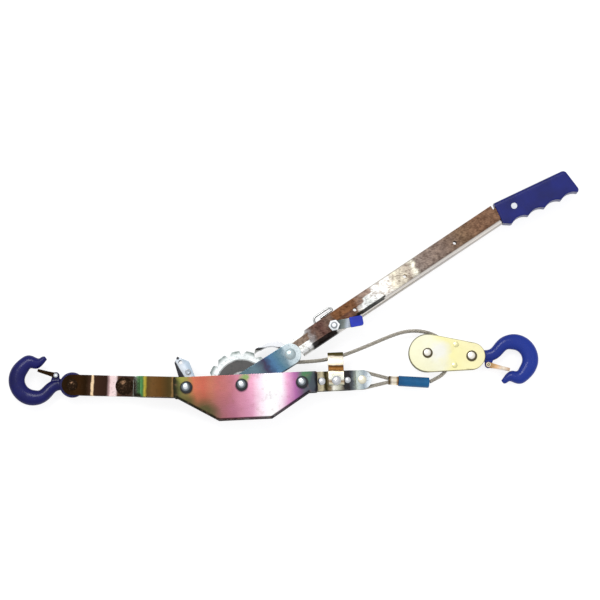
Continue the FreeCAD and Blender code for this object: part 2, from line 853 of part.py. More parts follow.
def grip():
    """The plastic grip, with finger scallops below and a slot for the channel's tang."""
    turn = S.handle_angle
    corner = polar(S.grip_start, turn)
    body = new_body("grip", x=corner[0], y=corner[1], z=MIDDLE, turn=turn - S.grip_droop)
    top, crest, pitch = S.grip_top, S.grip_crest, S.scallop_pitch
    long, radius = S.grip_length, S.scallop_radius
    first = long - 3 - pitch * 4
    corners = [(0, top), (0, -top), (first - 4, -crest + 1.5, 5), (first, -crest, -radius)]
    for number in range(1, 4):
        corners.append((first + pitch * number, -crest, -radius))
    corners += [
        (long - 3, -crest, 5),
        (long, -crest + 5),
        (long - 5, top - 5, 6),
        (long - 10, top),
    ]
    sketch = new_sketch(body, "XY_Plane", "outline")
    outline(sketch, corners)
    pad(body, sketch, S.grip_width, centred=True)
    fillet(body, S.grip_round, long_edge_of_grip)
    slot = new_sketch(body, "XY_Plane", "slot")
    tilt, reach = S.grip_droop, S.channel_end - S.grip_start + 0.5
    half = S.tang_half_height + 0.3

    def in_slot(x, y):
        """A point of the slot, along the channel."""
        return x * cos(tilt) - y * sin(tilt), x * sin(tilt) + y * cos(tilt)

    before = -10
    places = [(before, -half), (reach, -half), (reach, half), (before, half)]
    outline(slot, [in_slot(x, y) for x, y in places])
    cut = pocket(body, slot)
    cut.Type = "Length"
    tie(cut, "Length", (CHANNEL_HALF + 0.2) * 2)
    hole = new_sketch(body, "XY_Plane", "rivet_hole")
    circle(hole, (S.grip_rivet_place, 0), S.grip_rivet_radius)
    pocket(body, hole)
    place = grip_point(S.grip_rivet_place, dim(0))
    x = place[0] * cos(turn) - place[1] * sin(turn)
    y = place[0] * sin(turn) + place[1] * cos(turn)
    half_width = S.grip_width / 2
    profile = rivet_profile(
        S.grip_rivet_radius, S.grip_rivet_head, MIDDLE - half_width, MIDDLE + half_width, dim(1.5)
    )
    turned("grip_rivet", profile, x=x, y=y)


def long_edge_of_grip(edge):
    """True for the edges along the grip's flat back, on both of its sides."""
    way = edge.Vertexes[-1].Point - edge.Vertexes[0].Point
    return edge.Curve.TypeId == "Part::GeomLine" and abs(way.z) < 0.01 and edge.BoundBox.YMin > 0


def direction_lever():
    """The lever on the channel's flange that sets the driving pawl, its cap, stud and nut."""
    turn = S.handle_angle - S.lever_turn
    bar = S.handle_angle
    x = S.lever_place * cos(bar) + S.lever_drop * sin(bar)
    y = S.lever_place * sin(bar) - S.lever_drop * cos(bar)
    flange = MIDDLE + CHANNEL_HALF
    low = flange + S.side_gap
    high = low + S.lever_thickness
    stud = S.lever_bolt
    corners = rounded_bar(dim(0), S.lever_length, S.lever_half_width, round_end=False)
    plate("lever_plate", corners, [((0, 0), stud + S.pin_clearance)], S.lever_thickness, x, y, low, turn)
    cap = new_body("lever_cap", x, y, low, turn)
    sketch = new_sketch(cap, "XY_Plane", "outline")
    start, end = S.lever_length, S.lever_length + S.cap_length
    half = S.cap_half_width
    outline(
        sketch,
        [
            (start, -half),
            (end - 3, -half, 3),
            (end, -half + 3),
            (end, half - 3, 3),
            (end - 3, half),
            (start, half),
        ],
    )
    pad(cap, sketch, S.lever_thickness + 3)
    inner = flange - S.channel_sheet - S.side_gap
    profile = [
        (0, inner - 2.5),
        (stud + 1.2, inner - 2.5),
        (stud + 1.2, inner),
        (stud, inner),
        (stud, high + 0.2 + S.nut_height + 1.5),
        (0, high + 0.2 + S.nut_height + 1.5),
    ]
    turned("lever_bolt", profile, x=x, y=y)
    nut = new_body("lever_nut", x, y, high + 0.2, turn)
    sketch = new_sketch(nut, "XY_Plane", "outline")
    reach = S.nut_flats / 2 / cos(30)
    outline(sketch, [polar(reach, 60 * n) for n in range(6)])
    circle(sketch, (0, 0), stud)
    pad(nut, sketch, S.nut_height)


def bent_strap(label, side, levels, ends, half_width, holes, x=0, y=0, turn=0):
    """A strap bent along its length: levels are (place, height of its inner face from the middle)."""
    body = new_body(label, x, y, MIDDLE, turn)
    sketch = new_sketch(body, "XZ_Plane", "bends")
    thickness = S.strap_thickness
    inner = [(place, level * side) for place, level in levels]
    outer = [(place, (level + thickness) * side) for place, level in levels]
    outline(sketch, inner + outer[::-1] if side > 0 else outer + inner[::-1])
    pad(body, sketch, half_width * 2, centred=True)
    rounding = new_sketch(body, "XY_Plane", "ends")
    beyond = half_width + 2
    start, end = ends
    outline(
        rounding,
        [
            (end, -half_width, half_width),
            (end + half_width, 0, half_width),
            (end, half_width),
            (end, beyond),
            (end + beyond, beyond),
            (end + beyond, -beyond),
            (end, -beyond),
        ],
    )
    outline(
        rounding,
        [
            (start, half_width, half_width),
            (start - half_width, 0, half_width),
            (start, -half_width),
            (start, -beyond),
            (start - beyond, -beyond),
            (start - beyond, beyond),
            (start, beyond),
        ],
    )
    pocket(body, rounding)
    bores = new_sketch(body, "XY_Plane", "bores")
    for centre, radius in holes:
        circle(bores, centre, radius)
    pocket(body, bores)
    return body


PLATE_LEVEL = ARM_HIGH - MIDDLE
EYE_LEVEL = S.eye_thickness / 2 + S.eye_gap
LINK_TURN = 180 - S.link_angle


def rear_link():
    """The two straps behind the plates, drawn together at their rivet, and the rivets in them."""
    reach, place = S.link_reach, S.link_rivet_place
    half = S.strap_half_width
    levels = [
        (-half - 1, PLATE_LEVEL),
        (place - S.joggle_before, PLATE_LEVEL),
        (place - S.joint_land, S.joint_half_gap),
        (place + S.joint_land, S.joint_half_gap),
        (place + S.joggle_after, EYE_LEVEL),
        (reach + half + 1, EYE_LEVEL),
    ]
    holes = [
        ((0, 0), S.bolt_radius + S.pin_clearance),
        ((place, dim(0)), S.rivet_radius),
        ((reach, dim(0)), S.eye_pin),
    ]
    for label, side in (("rear_strap_top", 1), ("rear_strap_bottom", -1)):
        bent_strap(label, side, levels, (dim(0), reach), half, holes, x=-S.rear_bolt_x, turn=LINK_TURN)
    joint = polar(place, LINK_TURN, (-S.rear_bolt_x, 0))
    outer = S.joint_half_gap + S.strap_thickness
    washer, gap = S.boss_radius, S.joint_half_gap
    profile = [
        (0, MIDDLE - outer - 2.5),
        (S.rivet_head, MIDDLE - outer - 2.5),
        (washer, MIDDLE - outer),
        (S.rivet_radius, MIDDLE - outer),
        (S.rivet_radius, MIDDLE - gap),
        (washer, MIDDLE - gap),
        (washer, MIDDLE + gap),
        (S.rivet_radius, MIDDLE + gap),
        (S.rivet_radius, MIDDLE + outer),
        (washer, MIDDLE + outer),
        (S.rivet_head, MIDDLE + outer + 2.5),
        (0, MIDDLE + outer + 2.5),
    ]
    turned("strap_rivet", profile, x=joint[0], y=joint[1])
    eye = polar(reach, LINK_TURN, (-S.rear_bolt_x, 0))
    level = EYE_LEVEL + S.strap_thickness
    profile = rivet_profile(S.eye_pin, S.rivet_head, MIDDLE - level, MIDDLE + level, dim(3))
    turned("rear_hook_pin", profile, x=eye[0], y=eye[1])
    return eye


def hook_sections(reach):
    """The hook's sections along it: place, direction, half width and half depth."""
    bowl, wide, deep = S.bowl_radius, S.hook_half_width, S.hook_half_depth
    shank = S.shank_half_width
    sections = [
        ((dim(7), dim(0)), 0, shank * 0.9, S.eye_thickness / 2 - 0.2),
        ((S.eye_radius + 2.6, bowl * 0.1), S.root_angle, shank * 0.88, S.eye_thickness / 2 - 0.2),
        ((reach - bowl * 0.98, bowl * 0.35), S.neck_angle, shank * 0.95, deep * 0.84),
    ]
    for angle, width, depth in (
        (135, shank, deep * 0.96),
        (97, wide * 0.95, deep),
        (52, wide, deep),
        (7, wide, deep),
        (-38, wide * 0.94, deep * 0.97),
        (-80, wide * 0.77, deep * 0.9),
    ):
        sections.append((polar(bowl, angle, (reach, 0)), angle - 90, width, depth))
    tip = S.tip_half_width
    sections.append((polar(bowl * 0.972, -93.1, (reach, 0)), -168, tip * 2.43, deep * 0.82))
    sections.append((polar(bowl * 1.16, -103.5, (reach, 0)), -142, tip * 1.64, deep * 0.66))
    sections.append((polar(bowl * 1.411, -110.7, (reach, 0)), -138, tip * 1.04, tip * 1.25))
    return sections


def section_sketch(body, name, place, direction, half_width, half_depth):
    """A closed oval across the hook, facing along it."""
    sketch = new_sketch(body, "YZ_Plane", name)
    sketch.AttachmentOffset = FreeCAD.Placement(Vector(0, 0, 0), FreeCAD.Rotation(Vector(0, 1, 0), dim(direction).value))
    tie(sketch, "AttachmentOffset.Base.x", place[1])
    tie(sketch, "AttachmentOffset.Base.z", place[0])
    count, swell = 8, 1 / 0.9024
    poles = []
    for number in range(count):
        angle = 2 * math.pi * number / count
        across = half_width.value * swell * math.cos(angle)
        poles.append(Vector(across, half_depth.value * swell * math.sin(angle), 0))
    oval = Part.BSplineCurve()
    oval.buildFromPoles(poles, True, 3)
    sketch.addGeometry(oval)
    return sketch


def forged_hook(label, eye, middle, turn, reach):
    """A forged hook with its eye on the origin, its bowl along X and its tip below."""
    body = new_body(label, eye[0], eye[1], middle, turn)
    sketches = []
    for number, (place, direction, width, depth) in enumerate(hook_sections(reach)):
        sketches.append(section_sketch(body, f"oval_{number}", place, direction, dim(width), dim(depth)))
    loft = body.newObject("PartDesign::AdditiveLoft", f"{label}_loft")
    loft.Profile = sketches[0]
    loft.Sections = sketches[1:]
    body.Tip = loft
    ring = new_sketch(body, "XY_Plane", "eye")
    circle(ring, (0, 0), S.eye_radius)
    pad(body, ring, S.eye_thickness, centred=True)
    lug = new_sketch(body, "XY_Plane", "lug")
    x, y, radius = S.latch_x, -S.latch_y, S.lug_radius
    outline(
        lug,
        [
            (x - radius, y, radius),
            (x, y - radius, radius),
            (x + radius, y),
            (x + radius + 2, dim(2)),
            (x - radius - 2, dim(2)),
        ],
    )
    pad(body, lug, S.lug_thickness, centred=True)
    holes = new_sketch(body, "XY_Plane", "holes")
    circle(holes, (0, 0), S.eye_pin + S.pin_clearance)
    circle(holes, (x, y), S.latch_pin)
    pocket(body, holes)
    return body


def latch(prefix, eye, middle, turn, reach):
    """The sprung latch of a hook: a folded channel on a pin through the hook's lug."""
    x, y = S.latch_x, -S.latch_y
    pivot_x = dim(eye[0]) + x * cos(turn) - y * sin(turn)
    pivot_y = dim(eye[1]) + x * sin(turn) + y * cos(turn)
    body = new_body(f"{prefix}_latch", pivot_x, pivot_y, middle, turn - S.latch_tilt)
    half, wide, sheet = S.latch_height / 2, S.latch_half_width, S.latch_sheet
    long = reach - S.latch_short
    sketch = new_sketch(body, "XY_Plane", "outline")
    round_part = half * 1.4
    outline(
        sketch,
        [
            (0, round_part, round_part),
            (-round_part, 0, round_part),
            (0, -round_part),
            (long * 0.4, -half),
            (long, -half + 0.5),
            (long, half - 0.8),
            (long * 0.4, half),
        ],
    )
    circle(sketch, (0, 0), S.latch_pin + S.pin_clearance)
    pad(body, sketch, wide * 2, centred=True)
    hollow = new_sketch(body, "XY_Plane", "hollow")
    outline(
        hollow,
        [
            (-round_part - 1, -round_part - 1),
            (S.lug_radius + 1.2, -round_part - 1),
            (S.lug_radius + 1.2, -half + sheet),
            (long - sheet, -half + sheet),
            (long - sheet, round_part + 1),
            (-round_part - 1, round_part + 1),
        ],
    )
    cut = pocket(body, hollow)
    cut.Type = "Length"
    tie(cut, "Length", (wide - sheet) * 2)
    high = wide + 0.3
    profile = [
        (0, -high - 1),
        (S.latch_pin + 1, -high - 1),
        (S.latch_pin + 1, -high),
        (S.latch_pin, -high),
        (S.latch_pin, high),
        (S.latch_pin + 1, high),
        (S.latch_pin + 1, high + 1),
        (0, high + 1),
    ]
    turned(f"{prefix}_latch_pin", profile, x=pivot_x, y=pivot_y, z=middle)


def along_link(share):
    """The place at a share of the way from the first rivet of the front link to its thimble."""
    return S.link_rivet_x + (S.front_reach - S.link_rivet_x) * share


def front_link():
    """The two straps in front of the plates that hold the rope's thimble, with their rivets."""
    start, end, half = S.front_bolt_x, S.front_reach, S.front_half_width
    levels = [
        (start - half - 1, PLATE_LEVEL),
        (along_link(S.joggle_start_share), PLATE_LEVEL),
        (along_link(S.joggle_end_share), S.front_half_gap),
        (end + half + 1, S.front_half_gap),
    ]
    rivets = [
        ("link_rivet", S.link_rivet_x, S.link_rivet_radius),
        ("guide_bolt", along_link(S.guide_bolt_share), S.guide_bolt_radius),
        ("small_rivet", along_link(S.small_rivet_share), S.small_rivet_radius),
    ]
    holes = [((start, dim(0)), S.bolt_radius), ((end, dim(0)), S.thimble_pin)]
    holes += [((x, dim(0)), radius) for _, x, radius in rivets]
    for label, side in (("front_strap_top", 1), ("front_strap_bottom", -1)):
        bent_strap(label, side, levels, (start, end), half, holes)
    low, high = ARM_LOW, ARM_HIGH + S.strap_thickness
    for label, x, radius in rivets:
        top = high + S.guide_sheet if label == "guide_bolt" else high
        head = 2 if label == "small_rivet" else 3
        turned(label, rivet_profile(radius, radius + 2, low, top, dim(head)), x=x)
    bottom, outer = ARM_LOW + S.strap_thickness, S.shoulder_radius
    for label, x, inner in (
        ("link_spacer", S.link_rivet_x, S.link_rivet_radius),
        ("guide_spacer", along_link(S.guide_bolt_share), S.guide_bolt_radius),
    ):
        turned(label, [(inner, bottom), (outer, bottom), (outer, ARM_HIGH), (inner, ARM_HIGH)], x=x)
    level = S.front_half_gap + S.strap_thickness
    profile = rivet_profile(S.thimble_pin, S.thimble_pin + 1.6, MIDDLE - level, MIDDLE + level, dim(2))
    turned("thimble_pin", profile, x=end)


def rope_guide():
    """The bent tab that keeps the rope beside the front link."""
    body = new_body("rope_guide", x=along_link(S.guide_bolt_share))
    sketch = new_sketch(body, "YZ_Plane", "bends", -S.guide_width / 2)
    low = ARM_HIGH + S.strap_thickness
    high, step, sheet = low + S.guide_sheet, S.guide_step, S.guide_sheet
    outline(
        sketch,
        [
            (S.guide_low, low),
            (S.guide_bend, low),
            (S.guide_step_end, low - step),
            (S.guide_top - sheet, low - step),
            (S.guide_top - sheet, high - S.guide_depth),
            (S.guide_top, high - S.guide_depth),
            (S.guide_top, high - step),
            (S.guide_step_end + 1, high - step),
            (S.guide_bend + 1, high),
            (S.guide_low, high),
        ],
    )
    pad(body, sketch, S.guide_width)
    hole = new_sketch(body, "XY_Plane", "hole")
    circle(hole, (0, 0), S.guide_bolt_radius)
    pocket(body, hole)


def rope_end():
    """The thimble, the rope's eye round it, the ferrule and the plastic sleeve."""
    x, bend = S.front_reach, S.thimble_radius + S.rope_diameter / 2 - 1.4
    half = S.thimble_width / 2
    groove = S.rope_diameter / 2
    profile = [
        (S.thimble_pin, -half),
        (bend, -half),
        (bend, -groove, -groove),
        (bend - groove, 0, -groove),
        (bend, groove),
        (bend, half),
        (S.thimble_pin, half),
    ]
    turned("thimble", profile, x=x, z=MIDDLE)
    spread = S.rope_diameter.value / 2 + 0.1
    centre = Vector(x.value, 0, MIDDLE.value)
    end = Vector(S.ferrule_x.value, S.ferrule_y.value, MIDDLE.value)
    arms = []
    for side in (1, -1):
        foot = end + Vector(0, spread * side, 0)
        away = foot - centre
        lean = math.acos(bend.value / away.Length)
        angle = math.atan2(away.y, away.x) + lean * side
        arms.append((foot, centre + Vector(math.cos(angle), math.sin(angle), 0) * bend.value))
    far = centre - Vector(bend.value, 0, 0)
    edges = [
        Part.LineSegment(arms[0][0], arms[0][1]),
        Part.Arc(arms[0][1], far, arms[1][1]),
        Part.LineSegment(arms[1][1], arms[1][0]),
    ]
    tube("rope_eye", edges, S.rope_diameter)
    turn, dip = -S.sleeve_turn.value, S.sleeve_dip.value
    way = FreeCAD.Rotation(UP, turn).multVec(FreeCAD.Rotation(Vector(0, 1, 0), dip).multVec(Vector(1, 0, 0)))
    facing = FreeCAD.Rotation(UP, way)
    end_place = end + way * (S.ferrule_length + S.sleeve_length).value
    for label, start, length, radius in (
        ("ferrule", end, S.ferrule_length, S.ferrule_radius),
        ("ferrule_sleeve", end + way * S.ferrule_length.value, S.sleeve_length, S.sleeve_radius),
    ):
        piece = DOC.addObject("Part::Cylinder", label)
        piece.Label = label
        tie(piece, "Radius", radius)
        tie(piece, "Height", length)
        piece.Placement = FreeCAD.Placement(start, facing)
        BODIES[label] = piece
    return end_place


def rope(sleeve_end):
    """The wire rope from the drum over the rope guide, round the sheave and back to the sleeve."""
    high, low = MIDDLE.value, BLOCK_MIDDLE.value
    lay = (S.barrel_radius + S.rope_diameter * (S.rope_layers - 0.5)).value
    points = [
        (18, lay, high),
        (66, lay - 0.6, high),
        (118, lay + 1.2, high - 0.7),
        (160, 42, high - 3.2),
        (200, 57.5, low + 2.2),
        (219, 61.5, low + 0.4),
        (237, 60.5, low),
        (253, 55, low),
        (264, 45.5, low),
        (272, 31.5, low),
        (271, 15.5, low),
        (261.5, 2.5, low + 0.4),
        (249.5, -3.4, low + 2.1),
        (sleeve_end.x + 1.4, sleeve_end.y + 1.3, sleeve_end.z - 0.2),
    ]
    edges = rounded_path(points, report="rope")
    lead, rest = split_line(edges, 2 * 5)
    bight, back = split_line(rest, 2 * 6)
    tube("rope_lead", lead, S.rope_diameter)
    tube("rope_bight", bight, S.rope_diameter)
    tube("rope_return", back, S.rope_diameter)


def snatch_block():
    """The two teardrop plates, the sheave between them and the rivets that join them."""
    dx, dy = S.block_pin_x - S.sheave_x, S.block_pin_y - S.sheave_y
    long = dim(math.hypot(dx.value, dy.value))
    turn = dim(math.degrees(math.atan2(dy.value, dx.value)))
    big, small = S.block_big, S.block_small
    lean = (big - small) / long
    rise = dim(math.sqrt(1 - lean.value**2))
    corners = [
        (big * lean, big * rise, big),
        (-big, 0, big),
        (big * lean, -big * rise),
        (long + small * lean, -small * rise, small),
        (long + small, 0, small),
        (long + small * lean, small * rise),
    ]
    spacers = [
        ("block_spacer_upper", S.spacer_x, S.spacer_y),
        ("block_spacer_lower", S.spacer_x, -S.spacer_y),
    ]
    holes = [((0, 0), S.sheave_pin), ((long, dim(0)), S.eye_pin)]
    holes += [((x, y), S.block_spacer) for _, x, y in spacers]
    second = BLOCK_LOW + S.block_plate + S.block_gap
    for label, z in (("block_plate_bottom", BLOCK_LOW), ("block_plate_top", second)):
        plate(label, corners, holes, S.block_plate, S.sheave_x, S.sheave_y, z, turn)
    top = second + S.block_plate
    head = S.block_head
    centre = (S.sheave_x, S.sheave_y)
    turned("sheave_rivet", rivet_profile(S.sheave_pin, S.sheave_head, BLOCK_LOW, top, head), *centre)
    pin = rivet_profile(S.eye_pin, S.hook_pin_head, BLOCK_LOW, top, head)
    turned("block_hook_pin", pin, S.block_pin_x, S.block_pin_y)
    for label, x, y in spacers:
        place_x = S.sheave_x + x * cos(turn) - y * sin(turn)
        place_y = S.sheave_y + x * sin(turn) + y * cos(turn)
        profile = rivet_profile(S.block_spacer, S.block_spacer + 1.2, BLOCK_LOW, top, dim(1.2))
        turned(label, profile, place_x, place_y)
    half, bore = S.sheave_width / 2, S.sheave_pin + S.pin_clearance
    rim, groove = S.sheave_radius, S.groove_radius
    profile = [
        (bore, -half),
        (rim, -half),
        (rim, -S.groove_mouth),
        (groove, -S.groove_floor),
        (groove, S.groove_floor),
        (rim, S.groove_mouth),
        (rim, half),
        (bore, half),
    ]
    turned("sheave", profile, S.sheave_x, S.sheave_y, BLOCK_MIDDLE)


def build():
    """Every sub-part of the winch."""
    side_plates()
    frame_pins()
    front_link()
    rope_guide()
    sleeve_end = rope_end()
    eye = rear_link()
    forged_hook("rear_hook", eye, MIDDLE, S.rear_hook_turn, S.rear_bowl_reach)
    latch("rear", eye, MIDDLE, S.rear_hook_turn, S.rear_bowl_reach)
    drum()
    holding_pawl()
    pawl_spring()
    handle_arms()
    handle_channel()
    grip()
    direction_lever()
    driving_pawl()
    trip_wire()
    snatch_block()
    block_eye = (S.block_pin_x, S.block_pin_y)
    forged_hook("load_hook", block_eye, BLOCK_MIDDLE, S.load_hook_turn, S.load_bowl_reach)
    latch("load", block_eye, BLOCK_MIDDLE, S.load_hook_turn, S.load_bowl_reach)
    rope(sleeve_end)


def check_and_write():
    """Stops on anything that failed, then writes each sub-part."""
    DOC.recompute()
    for thing in DOC.Objects:
        if "Invalid" in thing.State or "Error" in thing.State:
            raise ValueError(f"{thing.Name} failed: {thing.State}")
    for cut in CUTS:
        before, after = cut.BaseFeature, cut.Shape
        if cut.TypeId == "PartDesign::Pocket" and before and not after.Volume < before.Shape.Volume - 0.01:
            raise ValueError(f"{cut.Name} cut nothing")
    os.makedirs("parts", exist_ok=True)
    for label, body in BODIES.items():
        shape = body.Shape
        if shape.isNull() or not shape.isValid() or not shape.Solids:
            raise ValueError(f"{label} has no valid solid")
        if len(shape.Solids) != 1:
            raise ValueError(f"{label} has {len(shape.Solids)} solids")
        shape.exportStep(f"parts/{label}.step")
    print(len(BODIES), "sub-parts written")


build()
check_and_write()
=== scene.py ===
"""The looks of a come along winch lying on its side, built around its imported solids.

Every piece is in metres, in the frame of the solids: +Z is the drum axle, and +X runs
along the side plates towards the load hook. A finish works on the place on its piece,
in the same frame, and a number of waves is how many of a pattern's waves fit in a metre.
"""

import json
import logging
import math
from dataclasses import dataclass, field
from enum import Enum
from typing import Optional, Sequence, Union

import bmesh
import bpy
from mathutils import Matrix, Vector

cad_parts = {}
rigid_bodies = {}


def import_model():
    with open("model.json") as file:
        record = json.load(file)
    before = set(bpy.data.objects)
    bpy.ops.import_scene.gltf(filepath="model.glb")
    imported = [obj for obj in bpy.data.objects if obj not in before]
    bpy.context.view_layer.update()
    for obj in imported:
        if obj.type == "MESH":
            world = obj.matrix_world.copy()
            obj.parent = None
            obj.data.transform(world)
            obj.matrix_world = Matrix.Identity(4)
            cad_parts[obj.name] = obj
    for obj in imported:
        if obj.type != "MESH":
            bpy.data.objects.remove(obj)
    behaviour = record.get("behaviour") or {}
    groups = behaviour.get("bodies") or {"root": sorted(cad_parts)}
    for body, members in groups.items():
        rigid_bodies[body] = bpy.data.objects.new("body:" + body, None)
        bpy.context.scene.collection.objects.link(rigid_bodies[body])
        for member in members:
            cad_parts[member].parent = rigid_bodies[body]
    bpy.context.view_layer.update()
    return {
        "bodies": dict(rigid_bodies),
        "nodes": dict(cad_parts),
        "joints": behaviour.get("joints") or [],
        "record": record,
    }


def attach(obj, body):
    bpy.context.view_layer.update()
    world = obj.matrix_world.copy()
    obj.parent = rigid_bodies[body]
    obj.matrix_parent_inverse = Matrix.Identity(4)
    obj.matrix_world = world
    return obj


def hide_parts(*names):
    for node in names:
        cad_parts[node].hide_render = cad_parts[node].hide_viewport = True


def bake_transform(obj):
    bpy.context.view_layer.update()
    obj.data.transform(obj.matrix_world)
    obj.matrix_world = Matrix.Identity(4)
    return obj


Colour = tuple[float, float, float]
Point = tuple[float, float, float]
Spot = tuple[float, float]
Span = tuple[float, float]
Stops = tuple[tuple[float, Colour], ...]

LOG = logging.getLogger("winch")
MM = 0.001
FULL_TURN = 2.0 * math.pi
WHITE: Colour = (1.0, 1.0, 1.0)
# Most of a noise lies between these two values.
NOISE_BODY: Span = (0.3, 0.7)


class Edge(Enum):
    """How far the edges of a kind of part are rounded, in metres."""

    NONE = 0.0
    CRISP = 0.00025
    SHEET = 0.0004
    SOFT = 0.0007


class End(Enum):
    """The two ends of the winch, as its nodes' names begin."""

    REAR = "rear"
    LOAD = "load"


class Value:
    """A socket of a material's nodes, on which sums are written as Python."""

    def __init__(self, graph: "Graph", socket: bpy.types.NodeSocket) -> None:
        """Keeps the socket and the graph it belongs to."""
        self.graph = graph
        self.socket = socket

    def _sum(self, operation: str, first: "Operand", second: "Operand") -> "Value":
        """One Math node."""
        return self.graph.node("ShaderNodeMath", {"operation": operation}, {0: first, 1: second})

    def __add__(self, other: "Operand") -> "Value":
        """The sum of two values."""
        return self._sum("ADD", self, other)

    def __radd__(self, other: "Operand") -> "Value":
        """The sum, with a number first."""
        return self._sum("ADD", other, self)

    def __sub__(self, other: "Operand") -> "Value":
        """The difference of two values."""
        return self._sum("SUBTRACT", self, other)

    def __rsub__(self, other: "Operand") -> "Value":
        """The difference, with a number first."""
        return self._sum("SUBTRACT", other, self)

    def __mul__(self, other: "Operand") -> "Value":
        """The product of two values."""
        return self._sum("MULTIPLY", self, other)

    def __rmul__(self, other: "Operand") -> "Value":
        """The product, with a number first."""
        return self._sum("MULTIPLY", other, self)


Operand = Union[Value, float]
Paint = Union[Value, Colour]


class Graph:
    """The node tree of a new material or of the world."""

    def __init__(self, owner: Union[bpy.types.Material, bpy.types.World]) -> None:
        """Starts an empty tree.

        Args:
            owner: The material or the world that the tree belongs to.
        """
        owner.use_nodes = True
        self.owner = owner
        self.tree = owner.node_tree
        self.tree.nodes.clear()

    @classmethod
    def named(cls, name: str) -> "Graph":
        """The tree of a new material."""
        return cls(bpy.data.materials.new(name))

    def node(
        self,
        kind: str,
        settings: Optional[dict] = None,
        inputs: Optional[dict] = None,
        output: Union[int, str] = 0,
    ) -> Value:
        """Adds any node.

        Args:
            kind: The node's type.
            settings: Its properties, set first; "stops" are a colour ramp's stops.
            inputs: The values or links of its sockets.
            output: The socket that is handed back.

        Returns:
            The chosen output.
        """
        made = self.tree.nodes.new(kind)
        for name, value in (settings or {}).items():
            if name == "stops":
                ramp = made.color_ramp
                while len(ramp.elements) < len(value):
                    ramp.elements.new(0.5)
                for element, (place, colour) in zip(ramp.elements, value):
                    element.position = place
                    element.color = (*colour, 1.0)
            else:
                setattr(made, name, value)
        for name, value in (inputs or {}).items():
            if isinstance(value, Value):
                self.tree.links.new(value.socket, made.inputs[name])
            else:
                made.inputs[name].default_value = value
        return Value(self, made.outputs[output])

    def vector(self, operation: str, *inputs: Union[Value, Sequence[float]]) -> Value:
        """A Vector Math node.

        Args:
            operation: What it works out.
            inputs: Its vectors.

        Returns:
            The vector, or the number where the operation gives one.
        """
        output = "Value" if operation in ("DOT_PRODUCT", "DISTANCE") else "Vector"
        settings = {"operation": operation}
        return self.node("ShaderNodeVectorMath", settings, dict(enumerate(inputs)), output)

    def place(self, stretch: Point = (1.0, 1.0, 1.0), turn: float = 0.0) -> Value:
        """The place on the piece, in metres.

        Args:
            stretch: The scale of the pattern along each axis.
            turn: The turn about Z, in degrees.

        Returns:
            The mapped Object coordinates.
        """
        spot = self.node("ShaderNodeTexCoord", output="Object")
        inputs = {"Vector": spot, "Scale": stretch, "Rotation": (0.0, 0.0, math.radians(turn))}
        return self.node("ShaderNodeMapping", {"vector_type": "POINT"}, inputs)

    def noise(self, scale: float, detail: float = 3.0, where: Optional[Value] = None) -> Value:
        """Smooth noise between 0 and 1, of a number of waves a metre."""
        inputs = {"Vector": where or self.place(), "Scale": scale, "Detail": detail}
        return self.node("ShaderNodeTexNoise", None, inputs)

    def along(self, start: Spot, end: Spot) -> Value:
        """How far a place is on the way between two others.

        Args:
            start: Where the value is 0.
            end: Where the value is 1.

        Returns:
            The share of the way.
        """
        run = Vector((*end, 0.0)) - Vector((*start, 0.0))
        spot = self.node("ShaderNodeTexCoord", output="Object")
        away = self.vector("SUBTRACT", spot, (*start, 0.0))
        return self.vector("DOT_PRODUCT", away, run / run.length_squared)

    def away(self, spot: Spot) -> Value:
        """How far a place is from a point, in metres, seen along Z."""
        flat = self.vector("MULTIPLY", self.place(), (1.0, 1.0, 0.0))
        return self.vector("DISTANCE", flat, (*spot, 0.0))

    def ramp(self, value: Value, stops: Sequence[tuple[float, Colour]]) -> Value:
        """The colour that a ramp gives a value."""
        return self.node("ShaderNodeValToRGB", {"stops": stops}, {"Fac": value})

    def spread(self, value: Value, low: float, high: float, to_low: float, to_high: float) -> Value:
        """A value's range stretched onto another one.

        Args:
            value: The value, which is clamped to its range.
            low: Where its range starts.
            high: Where its range ends.
            to_low: What its start becomes.
            to_high: What its end becomes.

        Returns:
            The stretched value.
        """
        spans = zip(("From Min", "From Max", "To Min", "To Max"), (low, high, to_low, to_high))
        return self.node("ShaderNodeMapRange", {"clamp": True}, {"Value": value, **dict(spans)})

    def window(self, value: Value, low: float, high: float, soft: float) -> Value:
        """One between low and high, and zero past their soft edges."""
        rise = self.spread(value, low - soft, low, 0.0, 1.0)
        return rise * self.spread(value, high, high + soft, 1.0, 0.0)

    def mix(self, share: Operand, first: Paint, second: Paint, blend: str = "MIX") -> Value:
        """Two colours mixed by a share.

        Args:
            share: The share of the second colour.
            first: The colour at 0.
            second: The colour at 1.
            blend: How the second colour acts on the first.

        Returns:
            The mixed colour.
        """
        ends = [c if isinstance(c, Value) else (*c, 1.0) for c in (first, second)]
        settings = {"data_type": "RGBA", "blend_type": blend}
        return self.node("ShaderNodeMix", settings, {0: share, 6: ends[0], 7: ends[1]}, 2)

    def bump(self, height: Value, distance: float, normal: Optional[Value] = None) -> Value:
        """A normal that leans with a height.

        Args:
            height: The height, between 0 and 1.
            distance: What a height of 1 is, in metres.
            normal: The normal that it starts from, if not the surface's own.

        Returns:
            The normal.
        """
        inputs = {"Height": height, "Distance": distance}
        if normal:
            inputs["Normal"] = normal
        return self.node("ShaderNodeBump", None, inputs)

    def finish(self, **inputs: Union[Operand, Colour]) -> bpy.types.Material:
        """Ends the tree in a Principled shader.

        Args:
            inputs: The shader's sockets, with their names in lower case.

        Returns:
            The finished material.
        """
        titles = (name.replace("_", " ").title().replace("Ior", "IOR") for name in inputs)
        shader = self.node("ShaderNodeBsdfPrincipled", None, dict(zip(titles, inputs.values())))
        self.output(shader)
        return self.owner

    def output(self, shader: Value, kind: str = "ShaderNodeOutputMaterial") -> None:
        """Links a shader to the tree's output."""
        made = self.tree.nodes.new(kind)
        self.tree.links.new(shader.socket, made.inputs["Surface"])


